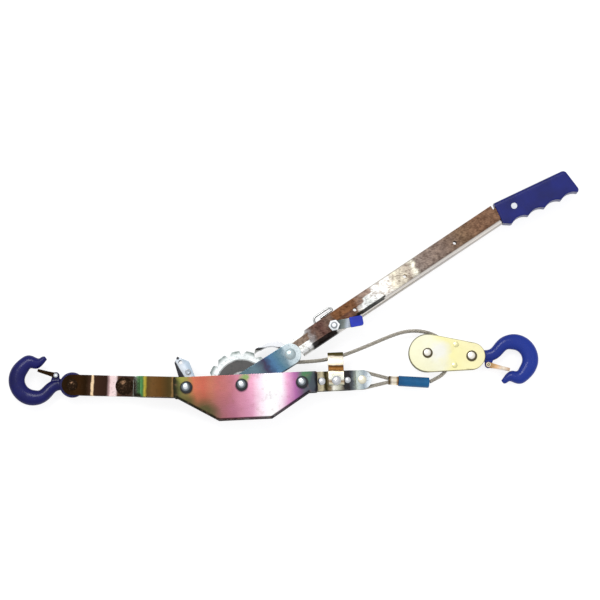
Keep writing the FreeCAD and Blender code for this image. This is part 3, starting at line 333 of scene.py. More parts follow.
@dataclass(frozen=True)
class Halo:
    """A patch of another colour round a point, fading from inner to outer."""

    spot: Spot
    inner: float
    outer: float
    colour: Colour
    share: float = 0.8
    ragged: float = 0.012

    def over(self, graph: Graph, colour: Value, patches: Value) -> Value:
        """Lays the patch over a colour.

        Args:
            graph: The material's nodes.
            colour: The colour under it.
            patches: The noise that roughens its edge.

        Returns:
            The colour with the patch.
        """
        reach = graph.away(self.spot) + (patches - 0.5) * self.ragged
        share = graph.spread(reach, self.inner, self.outer, self.share, 0.0)
        return graph.mix(share, colour, self.colour)


@dataclass(frozen=True)
class Ring:
    """Painted light on a round head: a dark rim of painted shade, a painted shade inside it, and a
    painted highlight in the middle, set towards the lamp.
    """

    spot: Spot
    radius: float
    # The rim is painted shade, the face is the painted highlight, and the shade lies between them.
    rim: Colour
    face: Colour
    shade: Colour
    rim_starts: float = 2.0 * MM
    rim_ends: float = 3.0 * MM
    rim_share: float = 0.94
    shade_span: Span = (0.60, 0.72)
    highlight_span: Span = (0.30, 0.46)
    ragged: float = 1.0 * MM
    # The painted shade disc and the painted highlight sit this far towards the lamp.
    lift: Spot = (-0.3 * MM, 0.6 * MM)

    def over(self, graph: Graph, colour: Value, patches: Value) -> Value:
        """Lays the painted shade rings and the painted highlight over a colour, from the outside
        in.

        Args:
            graph: The material's nodes.
            colour: The colour under them.
            patches: The noise that roughens their edges.

        Returns:
            The colour with the rings.
        """
        inner, outer = self.radius + self.rim_starts, self.radius + self.rim_ends
        rim = Halo(self.spot, inner, outer, self.rim, self.rim_share, 0.0)
        colour = rim.over(graph, colour, patches)
        lamp_side_centre = (self.spot[0] + self.lift[0], self.spot[1] + self.lift[1])
        for span, shade in ((self.shade_span, self.shade), (self.highlight_span, self.face)):
            inner, outer = (self.radius * share for share in span)
            disc = Halo(lamp_side_centre, inner, outer, shade, 1.0, self.ragged)
            colour = disc.over(graph, colour, patches)
        return colour


@dataclass(frozen=True)
class Rim:
    """A dark margin of painted shade on a straight edge, with the sheet to the left of the way to
    its end.
    """

    start: Spot
    end: Spot
    colour: Colour
    depth: float = 0.0018
    share: float = 0.93
    fade: float = 1.7
    overrun: float = 0.02

    def over(self, graph: Graph, colour: Value, _patches: Value) -> Value:
        """Lays the painted shade margin over a colour.

        Args:
            graph: The material's nodes.
            colour: The colour under it.
            _patches: The film's noise, which a clean margin doesn't follow.

        Returns:
            The colour with the margin.
        """
        way = Vector(self.end) - Vector(self.start)
        inward = Vector(self.start) + Vector((-way.y, way.x)).normalized()
        within = graph.along(self.start, tuple(inward))
        near = graph.spread(within, self.depth, self.depth * self.fade, self.share, 0.0)
        run = graph.along(self.start, self.end)
        reach = near * graph.window(run, -self.overrun, 1.0 + self.overrun, self.overrun)
        return graph.mix(reach, colour, self.colour)


@dataclass(frozen=True)
class Hoop:
    """A dark margin of painted shade round a plate's end, on the side of its middle away from
    another point.
    """

    spot: Spot
    radius: float
    other: Spot
    colour: Colour
    depth: float = 0.0008
    share: float = 0.9
    fade: float = 1.8
    ease: float = 0.12

    def over(self, graph: Graph, colour: Value, _patches: Value) -> Value:
        """Lays the painted shade margin over a colour.

        Args:
            graph: The material's nodes.
            colour: The colour under it.
            _patches: The film's noise, which a clean margin doesn't follow.

        Returns:
            The colour with the margin.
        """
        inner, outer = self.radius - self.depth * self.fade, self.radius - self.depth
        near = graph.spread(graph.away(self.spot), inner, outer, 0.0, self.share)
        behind = graph.spread(graph.along(self.spot, self.other), 0.0, self.ease, 1.0, 0.0)
        return graph.mix(near * behind, colour, self.colour)


Mark = Union[Halo, Ring, Rim, Hoop]


@dataclass(frozen=True, kw_only=True)
class Metal:
    """What all bare and plated metal shares: its gloss, fine scratches and shallow dents."""

    rough: Span = (0.2, 0.42)
    scratch_turn: float = 0.0
    scratch_waves: float = 90.0
    scratch_stretch: float = 28.0
    scratch_detail: float = 5.0
    scratch_depth: float = 0.00001
    dent_waves: float = 28.0
    dent_detail: float = 1.0
    dent_depth: float = 0.0003

    def worked(self, graph: Graph, colour: Value, clouds: Value) -> bpy.types.Material:
        """Ends a metal's nodes.

        Args:
            graph: The material's nodes.
            colour: Its colour.
            clouds: The noise that dulls it here and there.

        Returns:
            The material.
        """
        where = graph.place((1.0, self.scratch_stretch, self.scratch_stretch), self.scratch_turn)
        scratches = graph.noise(self.scratch_waves, self.scratch_detail, where)
        rough = graph.spread(scratches * 0.5 + clouds * 0.5, *NOISE_BODY, *self.rough)
        dents = graph.bump(graph.noise(self.dent_waves, self.dent_detail), self.dent_depth)
        normal = graph.bump(scratches, self.scratch_depth, dents)
        return graph.finish(base_color=colour, metallic=1.0, roughness=rough, normal=normal)


@dataclass(frozen=True)
class Plating(Metal):
    """Plated steel whose colour changes along the piece, with cloudy patches.

    The stops are shares of the way from start to end, and on some pieces they also hold painted
    highlights and painted shade. Where low stops are given, the colours change to them down the
    piece, along the low span.
    """

    name: str
    stops: Stops
    start: Spot = (0.0, 0.0)
    end: Spot = (0.1, 0.0)
    drift: float = 0.25
    patch_scale: float = 45.0
    patch_detail: float = 4.0
    dirt: Colour = (0.10, 0.08, 0.06)
    dirt_share: float = 0.25
    dirt_finer: float = 3.1
    dirt_detail: float = 6.0
    dirt_span: Span = (0.55, 0.72)
    marks: tuple[Mark, ...] = ()
    low_stops: Stops = ()
    low_span: tuple[Spot, Spot] = ((0.0, -0.004), (0.0, -0.030))
    low_drift: float = 0.6

    def material(self) -> bpy.types.Material:
        """The finish: the colours along the piece, its marks, and dirt in small spots; on some
        pieces the colours and marks hold painted highlights and painted shade.

        Returns:
            The material.
        """
        graph = Graph.named(self.name)
        patches = graph.noise(self.patch_scale, self.patch_detail)
        run = graph.along(self.start, self.end) + (patches - 0.5) * (2.0 * self.drift)
        colour = graph.ramp(run, self.stops)
        if self.low_stops:
            down = graph.along(*self.low_span) + (patches - 0.5) * self.low_drift
            drop = graph.spread(down, 0.0, 1.0, 0.0, 1.0)
            colour = graph.mix(drop, colour, graph.ramp(run, self.low_stops))
        for mark in self.marks:
            colour = mark.over(graph, colour, patches)
        dirt = graph.noise(self.patch_scale * self.dirt_finer, self.dirt_detail)
        spots = graph.spread(dirt, *self.dirt_span, 0.0, 1.0)
        colour = graph.mix(spots * self.dirt_share, colour, self.dirt)
        return self.worked(graph, colour, patches)


@dataclass(frozen=True)
class Enamel:
    """Paint over a forging, with painted light that brightens it towards the load, an orange peel
    and rubbed spots.
    """

    name: str
    colour: Colour
    deep: Colour
    lit: Colour
    worn: Colour
    cloud_waves: float = 35.0
    cloud_span: Span = (0.35, 0.65)
    lit_span: tuple[Spot, Spot] = ((0.2, 0.0), (0.37, 0.0))
    lit_share: float = 0.9
    worn_waves: float = 260.0
    worn_span: Span = (0.66, 0.74)
    worn_share: float = 0.1
    gloss_waves: float = 120.0
    rough: Span = (0.16, 0.34)
    forge_waves: float = 55.0
    forge_depth: float = 0.0005
    peel_waves: float = 420.0
    peel_depth: float = 0.0001
    specular: float = 0.22
    coat: float = 0.06
    coat_rough: float = 0.1

    def material(self) -> bpy.types.Material:
        """The finish: two blues in clouds, painted light towards the load, rubbed spots, and a
        forged skin under the paint.

        Returns:
            The material.
        """
        graph = Graph.named(self.name)
        clouds = graph.noise(self.cloud_waves, detail=4.0)
        depth = graph.spread(clouds, *self.cloud_span, 0.0, 1.0)
        colour = graph.mix(depth, self.colour, self.deep)
        lit = graph.spread(graph.along(*self.lit_span), 0.0, 1.0, 0.0, self.lit_share)
        colour = graph.mix(lit, colour, self.lit)
        rubbed = graph.noise(self.worn_waves, detail=6.0)
        worn = graph.spread(rubbed, *self.worn_span, 0.0, self.worn_share)
        colour = graph.mix(worn, colour, self.worn)
        forged = graph.bump(graph.noise(self.forge_waves), self.forge_depth)
        return graph.finish(
            base_color=colour,
            roughness=graph.spread(graph.noise(self.gloss_waves), *NOISE_BODY, *self.rough),
            normal=graph.bump(graph.noise(self.peel_waves, detail=2.0), self.peel_depth, forged),
            specular_ior_level=self.specular,
            coat_weight=self.coat,
            coat_roughness=self.coat_rough,
        )


@dataclass(frozen=True)
class Moulded:
    """Moulded plastic with a fine grain."""

    name: str
    colour: Colour
    deep: Colour
    cloud_waves: float = 60.0
    gloss_waves: float = 300.0
    rough: Span = (0.28, 0.42)
    grain_waves: float = 1500.0
    grain_depth: float = 0.00003
    specular: float = 0.3

    def material(self) -> bpy.types.Material:
        """The finish: two shades in clouds, with the grain of the mould.

        Returns:
            The material.
        """
        graph = Graph.named(self.name)
        clouds = graph.spread(graph.noise(self.cloud_waves, detail=4.0), *NOISE_BODY, 0.0, 1.0)
        gloss = graph.noise(self.gloss_waves, detail=4.0)
        return graph.finish(
            base_color=graph.mix(clouds, self.colour, self.deep),
            roughness=graph.spread(gloss, *NOISE_BODY, *self.rough),
            normal=graph.bump(graph.noise(self.grain_waves, detail=2.0), self.grain_depth),
            specular_ior_level=self.specular,
        )


@dataclass(frozen=True)
class Band:
    """A strip of another colour on the handle, by its reach along and across it."""

    along: Span
    across: Span
    colour: Colour
    share: float = 0.9
    end_soft: float = 0.012

    def over(self, graph: Graph, colour: Value, run: Value, across: Value, soft: float) -> Value:
        """Lays the strip over a colour.

        Args:
            graph: The material's nodes.
            colour: The colour under it.
            run: The share of the handle's length.
            across: The place across the handle, in centimetres.
            soft: How softly its long edges end, in centimetres.

        Returns:
            The colour with the strip.
        """
        ends = graph.window(run, *self.along, self.end_soft)
        reach = ends * graph.window(across, *self.across, soft)
        return graph.mix(reach * self.share, colour, self.colour)


@dataclass(frozen=True)
class Spangle(Metal):
    """Hot-dip galvanised sheet, mottled brown and silver, that changes along the handle.

    The bands lie under the mottle and wander with it, and hold the coating's brown zones and strips
    of painted shade; the painted light and shade along the edges lies over the mottle.
    """

    name: str
    stops: Stops
    start: Spot
    end: Spot
    bands: tuple[Band, ...]
    edge_light_and_shade: tuple[Band, ...]
    light: Colour
    dark: Colour
    cloud_waves: float = 70.0
    drift: float = 0.07
    wander: float = 0.25
    unit: float = 0.01
    band_soft: float = 0.06
    edge_light_and_shade_soft: float = 0.03
    coarse_waves: float = 150.0
    fine_waves: float = 330.0
    fine_stretch: Point = (1.0, 2.2, 1.0)
    middle: float = 0.5
    light_end: float = 0.62
    dark_end: float = 0.38

    def material(self) -> bpy.types.Material:
        """The finish: the zones along the handle, its bands, the mottle, and the painted light and
        shade along its edges.

        Returns:
            The material.
        """
        graph = Graph.named(self.name)
        clouds = graph.noise(self.cloud_waves, detail=5.0)
        run = graph.along(self.start, self.end) + (clouds - 0.5) * self.drift
        colour = graph.ramp(run, self.stops)
        length = Vector(self.end) - Vector(self.start)
        beside = Vector(self.start) + Vector((length.y, -length.x)).normalized() * self.unit
        straight = graph.along(self.start, tuple(beside))
        across = straight + (clouds - 0.5) * self.wander
        for band in self.bands:
            colour = band.over(graph, colour, run, across, self.band_soft)
        coarse = graph.noise(self.coarse_waves, detail=7.0)
        turned = graph.place(self.fine_stretch, self.scratch_turn)
        fine = graph.noise(self.fine_waves, where=turned)
        grain = coarse * 0.5 + fine * 0.5
        for end, tint in ((self.light_end, self.light), (self.dark_end, self.dark)):
            share = graph.spread(grain, self.middle, end, 0.0, 1.0)
            colour = graph.mix(share, colour, tint, "MULTIPLY")
        # Painted light and shade along the edges goes over the mottle.
        for fold in self.edge_light_and_shade:
            colour = fold.over(graph, colour, run, straight, self.edge_light_and_shade_soft)
        return self.worked(graph, colour, clouds)


@dataclass(frozen=True)
class LaidWire:
    """The wires of a rope's strands, which run round each strand."""

    name: str
    light: Colour
    dark: Colour
    wires: Point = (60.0, 2.0, 1.0)
    wire_share: float = 0.6
    wire_depth: float = 0.00015
    cloud_waves: float = 140.0
    metallic: float = 0.9
    rough: Span = (0.28, 0.5)

    def material(self) -> bpy.types.Material:
        """The finish: diagonal wires along each strand, with cloudy grease.

        Returns:
            The material.
        """
        graph = Graph.named(self.name)
        spot = graph.node("ShaderNodeTexCoord", output="UV")
        where = graph.node("ShaderNodeMapping", None, {"Vector": spot, "Scale": self.wires})
        settings = {"wave_type": "BANDS", "bands_direction": "DIAGONAL"}
        wires = graph.node("ShaderNodeTexWave", settings, {"Vector": where, "Scale": 1.0})
        clouds = graph.noise(self.cloud_waves, detail=4.0)
        share = wires * self.wire_share + clouds * (1.0 - self.wire_share)
        return graph.finish(
            base_color=graph.mix(share, self.dark, self.light),
            metallic=self.metallic,
            roughness=graph.spread(clouds, *NOISE_BODY, *self.rough),
            normal=graph.bump(wires, self.wire_depth),
        )


# The middles of the heads and pins that a finish marks, seen along Z.
AXLE, REAR_BOLT, FRONT_BOLT = (0.0, 0.0), (-0.0722, -0.0004), (0.0780, 0.0)
SHEAVE_RIVET, HOOK_RIVET = (0.2426, 0.0313), (0.2995, 0.0248)
REAR_PIN, LOAD_PIN = (-0.240046, 0.023625), (0.320774, 0.012617)
BOLT_RADIUS = 7.8 * MM
# Colours that several finishes share; INK, SLATE and OLIVE are painted shade on round heads, and
# SILVER and CREAM also serve as their painted highlights.
INK, SILVER, SLATE = (0.015, 0.016, 0.02), (0.70, 0.74, 0.76), (0.20, 0.23, 0.25)
OLIVE, CREAM = (0.10, 0.075, 0.03), (0.93, 0.90, 0.80)

SIDE_PLATE = Plating(
    "rainbow passivated side plate",
    (
        (0.0, (0.012, 0.012, 0.008)), (0.02, (0.03, 0.03, 0.015)), (0.05, (0.15, 0.15, 0.05)),
        (0.10, (0.30, 0.22, 0.07)), (0.15, (0.54, 0.15, 0.085)), (0.21, (0.52, 0.13, 0.085)),
        (0.26, (0.50, 0.17, 0.11)), (0.31, (0.49, 0.15, 0.13)), (0.36, (0.50, 0.17, 0.17)),
        (0.41, (0.50, 0.18, 0.22)), (0.46, (0.62, 0.25, 0.34)), (0.51, (0.72, 0.32, 0.45)),
        # The near-white stops from 0.60 to 0.745 are a painted reflection band across the plate.
        (0.55, (0.82, 0.40, 0.55)), (0.60, (0.93, 0.74, 0.84)), (0.65, (0.98, 0.96, 0.98)),
        (0.745, (0.98, 0.95, 0.98)), (0.795, (0.82, 0.42, 0.62)), (0.845, (0.46, 0.16, 0.38)),
        (0.885, (0.22, 0.11, 0.22)), (0.905, (0.12, 0.13, 0.15)), (0.94, (0.08, 0.10, 0.12)),
        (0.975, (0.07, 0.085, 0.10)), (0.988, (0.012, 0.012, 0.014)),
    ),
    (-0.0884, 0.0),
    (0.098, 0.0),
    drift=0.02,
    patch_scale=60.0,
    dirt=(0.30, 0.14, 0.10),
    dirt_share=0.25,
    rough=(0.2, 0.34),
    low_stops=(
        (0.0, (0.03, 0.03, 0.015)), (0.11, (0.09, 0.08, 0.03)), (0.16, (0.20, 0.11, 0.05)),
        (0.21, (0.20, 0.10, 0.055)), (0.26, (0.25, 0.11, 0.08)), (0.31, (0.33, 0.13, 0.13)),
        (0.36, (0.36, 0.13, 0.16)), (0.41, (0.43, 0.16, 0.23)), (0.46, (0.55, 0.23, 0.32)),
        # The near-white stops from 0.60 to 0.70 carry the painted reflection band down the plate.
        (0.51, (0.60, 0.27, 0.39)), (0.55, (0.70, 0.36, 0.50)), (0.60, (0.91, 0.72, 0.81)),
        (0.65, (0.96, 0.95, 0.96)), (0.70, (0.95, 0.94, 0.92)), (0.745, (0.88, 0.72, 0.80)),
        (0.795, (0.62, 0.28, 0.50)), (0.845, (0.34, 0.13, 0.32)), (0.90, (0.12, 0.07, 0.14)),
        (1.0, (0.02, 0.02, 0.03)),
    ),
    marks=(
        Halo((-0.0749, 0.0125), 0.003, 0.010, (0.32, 0.32, 0.07), 0.9, 0.02),
        Halo((0.0055, 0.0085), 0.002, 0.009, (0.20, 0.42, 0.10), 0.85, 0.02),
        Halo((0.0810, 0.0090), 0.003, 0.011, (0.08, 0.24, 0.10), 0.85, 0.02),
        Halo((-0.0497, -0.0362), 0.007, 0.022, (0.08, 0.085, 0.035), 0.9),
        Halo((-0.0705, -0.0200), 0.004, 0.013, (0.09, 0.08, 0.03), 0.8),
        # Painted shadows: a dark ring round each bolt head, set a little below it.
        Halo((-0.0715, -0.0010), 0.0074, 0.0094, (0.02, 0.02, 0.02), 0.9, 0.002),
        Halo((0.0, -0.0008), 0.0074, 0.0094, (0.03, 0.02, 0.04), 0.9, 0.002),
        Halo((0.0780, -0.0008), 0.0074, 0.0092, (0.02, 0.02, 0.03), 0.85, 0.002),
        # Painted shade: dark margins along the plate's lower edges.
        Rim((-0.0840, -0.0134), (-0.0317, -0.0443), (0.012, 0.012, 0.008)),
        Rim((-0.0317, -0.0443), (0.0373, -0.0443), (0.020, 0.012, 0.010)),
        Rim((0.0373, -0.0443), (0.0867, -0.0134), (0.015, 0.010, 0.014)),
    ),
)
BRIGHT_ZINC = Plating(
    "bright zinc",
    ((0.0, (0.40, 0.42, 0.44)), (0.5, (0.70, 0.72, 0.74)), (1.0, (0.55, 0.56, 0.55))),
    end=(0.05, 0.03),
    drift=0.5,
    patch_scale=70.0,
    dirt_share=0.3,
)
BOLT_ZINC = Plating(
    "zinc of the bolt heads",
    ((0.0, SILVER), (1.0, (0.72, 0.74, 0.76))),
    dent_depth=0.0001,
    dirt_share=0.2,
    rough=(0.14, 0.26),
    # Painted shade and a painted highlight on each bolt head: a dark rim, a shade, and a bright
    # middle set towards the lamp.
    marks=tuple(
        Ring(spot, BOLT_RADIUS, INK, SILVER, SLATE) for spot in (REAR_BOLT, AXLE, FRONT_BOLT)
    ),
)
WHEEL_ZINC = Plating(
    "zinc on the toothed wheels",
    (
        (0.0, (0.20, 0.24, 0.23)), (0.35, (0.55, 0.60, 0.58)), (0.65, (0.16, 0.20, 0.18)),
        (1.0, (0.50, 0.54, 0.52)),
    ),
    end=(0.04, 0.03),
    drift=0.6,
    patch_scale=75.0,
    dirt=(0.05, 0.06, 0.055),
    dirt_share=0.5,
    marks=(
        # A painted highlight on the ring inside the teeth, and painted shade over the web inside
        # it.
        Halo(AXLE, 0.0385, 0.0425, (0.82, 0.86, 0.85), 0.93, 0.004),
        Halo(AXLE, 0.0318, 0.0330, (0.075, 0.072, 0.070), 0.97, 0.001),
        Halo(AXLE, 0.016, 0.018, (0.5, 0.5, 0.5), 0.9, 0.001),
    ),
)
PAWL_ZINC = Plating(
    "zinc of the driving pawl",
    (
        # The near-black stops from 0.28 to 0.40 are painted shade on the pawl's lower face.
        (0.0, (0.34, 0.36, 0.32)), (0.22, (0.30, 0.31, 0.28)), (0.28, (0.02, 0.02, 0.02)),
        (0.40, (0.03, 0.03, 0.03)), (0.48, (0.88, 0.90, 0.92)), (0.90, (0.93, 0.94, 0.96)),
        (1.0, (0.40, 0.42, 0.42)),
    ),
    (0.0, 0.040),
    (0.0, 0.056),
    drift=0.04,
    rough=(0.12, 0.25),
    dirt_share=0.1,
)
WING_ZINC = Plating(
    "zinc of the holding pawl",
    (
        # The near-black stops up to 0.24 are painted shade on the pawl's side wing.
        (0.0, (0.03, 0.03, 0.035)), (0.24, (0.04, 0.04, 0.045)), (0.30, (0.52, 0.56, 0.60)),
        (0.75, (0.62, 0.68, 0.74)), (1.0, (0.40, 0.48, 0.56)),
    ),
    (-0.0842, 0.0256),
    (-0.0719, 0.0323),
    drift=0.04,
    dirt_share=0.2,
    marks=(Halo((-0.0812, 0.0385), 0.0014, 0.0026, (0.02, 0.02, 0.02), 0.95, 0.002),),
)
FRONT_STRAP = Plating(
    "zinc on the front link",
    (
        (0.0, (0.05, 0.06, 0.07)), (0.20, (0.34, 0.30, 0.20)), (0.27, (0.52, 0.46, 0.30)),
        (0.31, (0.03, 0.025, 0.01)), (0.34, (0.03, 0.025, 0.005)), (0.38, (0.26, 0.20, 0.12)),
        (0.42, (0.86, 0.85, 0.75)), (0.50, (0.50, 0.50, 0.40)), (0.57, (0.15, 0.13, 0.10)),
        (0.59, (0.03, 0.03, 0.03)), (0.66, (0.03, 0.028, 0.03)), (0.70, (0.13, 0.15, 0.17)),
        (0.76, (0.50, 0.56, 0.50)), (0.80, (0.55, 0.62, 0.60)), (0.87, (0.30, 0.36, 0.40)),
        (0.93, (0.70, 0.76, 0.80)), (1.0, (0.88, 0.92, 0.93)),
    ),
    (0.08, 0.0),
    (0.17, 0.0),
    drift=0.035,
    patch_scale=150.0,
    dirt=(0.03, 0.022, 0.012),
    dirt_share=0.6,
)
YELLOW_ZINC = Plating(
    "yellow zinc of the block",
    (
        (0.0, (0.84, 0.82, 0.52)), (0.45, (0.85, 0.84, 0.64)), (0.6, (0.88, 0.83, 0.42)),
        (1.0, (0.86, 0.81, 0.48)),
    ),
    (0.21, 0.0),
    (0.31, 0.03),
    drift=0.3,
    patch_scale=30.0,
    dirt=(0.60, 0.48, 0.28),
    dirt_share=0.15,
    rough=(0.28, 0.46),
    marks=(
        Halo((0.2570, 0.0330), 0.004, 0.016, (0.84, 0.84, 0.82), 0.7, 0.02),
        # Painted shade: dark margins round the plates' ends and along their edges.
        Hoop(SHEAVE_RIVET, 0.0247, HOOK_RIVET, (0.10, 0.09, 0.04)),
        Hoop(HOOK_RIVET, 0.0176, SHEAVE_RIVET, (0.30, 0.25, 0.13), 0.0005, 0.8),
        Rim((0.30365, 0.04190), (0.24842, 0.05530), (0.26, 0.24, 0.12), 0.0005, 0.8),
        Rim((0.24286, 0.00660), (0.29969, 0.00720), (0.30, 0.26, 0.14), 0.0005, 0.8),
    ),
)
RIVET_ZINC = Plating(
    "yellow zinc of the block's rivets",
    ((0.0, CREAM), (1.0, (0.88, 0.84, 0.66))),
    dent_depth=0.0001,
    dirt_share=0.1,
    marks=(
        # Painted shade: an olive rim round each rivet head.
        Ring(SHEAVE_RIVET, 0.0066, OLIVE, CREAM, CREAM),
        Ring(HOOK_RIVET, 0.0071, OLIVE, CREAM, CREAM),
    ),
)
BRASS_ZINC = Plating(
    "deep yellow zinc",
    (
        (0.0, (0.25, 0.29, 0.23)), (0.05, (0.60, 0.55, 0.40)), (0.12, (0.24, 0.16, 0.09)),
        (0.20, (0.66, 0.68, 0.60)), (0.32, (0.60, 0.60, 0.50)), (0.40, (0.76, 0.66, 0.46)),
        (0.44, (0.05, 0.022, 0.006)), (0.50, (0.19, 0.085, 0.022)), (0.56, (0.10, 0.04, 0.01)),
        (0.60, (0.02, 0.012, 0.005)), (0.64, (0.52, 0.43, 0.32)), (0.76, (0.60, 0.55, 0.46)),
        (0.88, (0.56, 0.50, 0.40)), (0.92, (0.07, 0.055, 0.02)), (1.0, (0.045, 0.035, 0.012)),
    ),
    (0.122, -0.006),
    (0.124, 0.036),
    drift=0.03,
    patch_scale=120.0,
)
LATCH_ZINC = Plating(
    "orange zinc of the latch",
    (
        (0.0, (0.36, 0.20, 0.06)), (0.3, (0.80, 0.50, 0.26)), (0.6, (0.90, 0.80, 0.66)),
        (1.0, (0.40, 0.18, 0.05)),
    ),
    (0.320, 0.008),
    (0.350, 0.000),
    drift=0.1,
)
REAR_STRAP = Plating(
    "brown passivated rear strap",
    (
        # The pale stops at 0.200 to 0.214, 0.352 to 0.405 and 0.572 are painted highlights on the
        # strap's bends; the rest is the film's colour.
        (0.0, (0.02, 0.010, 0.004)), (0.09, (0.035, 0.015, 0.005)), (0.15, (0.02, 0.010, 0.004)),
        (0.193, (0.06, 0.03, 0.018)), (0.200, (0.92, 0.68, 0.42)), (0.214, (0.92, 0.68, 0.42)),
        (0.221, (0.05, 0.024, 0.014)), (0.33, (0.035, 0.016, 0.011)), (0.352, (0.50, 0.33, 0.32)),
        (0.362, (0.94, 0.72, 0.70)), (0.405, (0.94, 0.76, 0.74)), (0.425, (0.10, 0.05, 0.03)),
        (0.47, (0.04, 0.02, 0.014)), (0.555, (0.05, 0.03, 0.02)), (0.572, (0.82, 0.90, 0.80)),
        (0.60, (0.20, 0.52, 0.20)), (0.64, (0.05, 0.18, 0.06)), (0.660, (0.50, 0.40, 0.05)),
        (0.68, (0.12, 0.07, 0.02)), (0.72, (0.16, 0.08, 0.025)), (0.79, (0.13, 0.06, 0.016)),
        (0.857, (0.08, 0.05, 0.016)), (0.885, (0.09, 0.06, 0.02)), (0.897, (0.30, 0.18, 0.07)),
        (0.910, (0.06, 0.04, 0.015)), (1.0, (0.04, 0.025, 0.01)),
    ),
    (-0.225, 0.0),
    (-0.075, -0.0105),
    drift=0.01,
    patch_scale=110.0,
    dirt_share=0.3,
    dirt=(0.05, 0.03, 0.015),
    rough=(0.12, 0.26),
    marks=(Halo((-0.1356, -0.0092), 0.0040, 0.0065, (0.03, 0.018, 0.01), 0.92, 0.004),),
)
DARK_RIVET = Plating(
    "dark rivets of the rear link",
    ((0.0, (0.025, 0.014, 0.008)), (0.5, (0.05, 0.026, 0.016)), (1.0, (0.02, 0.012, 0.008))),
    drift=0.4,
    patch_scale=160.0,
    dirt=(0.30, 0.18, 0.10),
    dirt_share=0.35,
    rough=(0.1, 0.2),
)
BLUE_ZINC = Plating(
    "blue zinc of the arms",
    (
        (0.0, (0.093, 0.155, 0.186)), (0.26, (0.124, 0.194, 0.232)), (0.34, (0.088, 0.112, 0.15)),
        (0.385, (0.062, 0.05, 0.094)), (0.43, (0.062, 0.112, 0.213)), (0.48, (0.088, 0.2, 0.35)),
        (0.57, (0.1, 0.213, 0.288)), (0.63, (0.16, 0.25, 0.3)), (0.69, (0.46, 0.56, 0.6)),
        (0.80, (0.7, 0.79, 0.81)), (1.0, (0.78, 0.84, 0.84)),
    ),
    (0.0, 0.0),
    (0.09, 0.05),
    drift=0.05,
    patch_scale=130.0,
    dirt=(0.04, 0.09, 0.16),
    dirt_share=0.55,
    rough=(0.16, 0.32),
)
ARM_RIVET = Plating(
    "mottled zinc of the arm rivet",
    ((0.0, (0.60, 0.68, 0.70)), (0.5, (0.84, 0.90, 0.90)), (1.0, (0.50, 0.60, 0.62))),
    end=(0.01, 0.01),
    drift=0.8,
    patch_scale=260.0,
    dirt=(0.10, 0.15, 0.15),
    dirt_share=0.8,
)
NUT_ZINC = Plating(
    "bright zinc of the nut",
    ((0.0, (0.62, 0.66, 0.68)), (1.0, (0.88, 0.90, 0.91))),
    (0.118, 0.066),
    (0.124, 0.074),
    drift=0.2,
    dirt_share=0.2,
    marks=(
        # Painted shade: a dark ring round the head; painted highlight: a bright disc set towards
        # the lamp.
        Halo((0.12286, 0.07125), 0.0038, 0.0046, (0.16, 0.18, 0.20), 0.85, 0.001),
        Halo((0.12266, 0.07165), 0.0022, 0.0030, (0.85, 0.88, 0.90), 1.0, 0.001),
    ),
)
PIN_ZINC = Plating(
    "zinc of the latch pins",
    ((0.0, (0.30, 0.32, 0.34)), (0.5, (0.60, 0.60, 0.56)), (1.0, (0.88, 0.80, 0.62))),
    (-0.24, 0.0),
    (0.32, 0.0),
    dirt_share=0.1,
    marks=(
        Halo(LOAD_PIN, 0.0017, 0.0023, (0.16, 0.12, 0.04), 0.9, 0.0),
        Halo(LOAD_PIN, 0.0004, 0.0009, (0.85, 0.78, 0.45), 1.0, 0.0),
        Halo(REAR_PIN, 0.0010, 0.0018, (0.75, 0.78, 0.80), 1.0, 0.0),
    ),
)
LEVER_ZINC = Plating(
    "grey zinc of the lever",
    (
        (0.0, (0.08, 0.10, 0.10)), (0.5, (0.20, 0.23, 0.22)), (0.8, (0.42, 0.47, 0.54)),
        (1.0, (0.30, 0.33, 0.38)),
    ),
    (0.128, 0.072),
    (0.143, 0.070),
    drift=0.05,
)
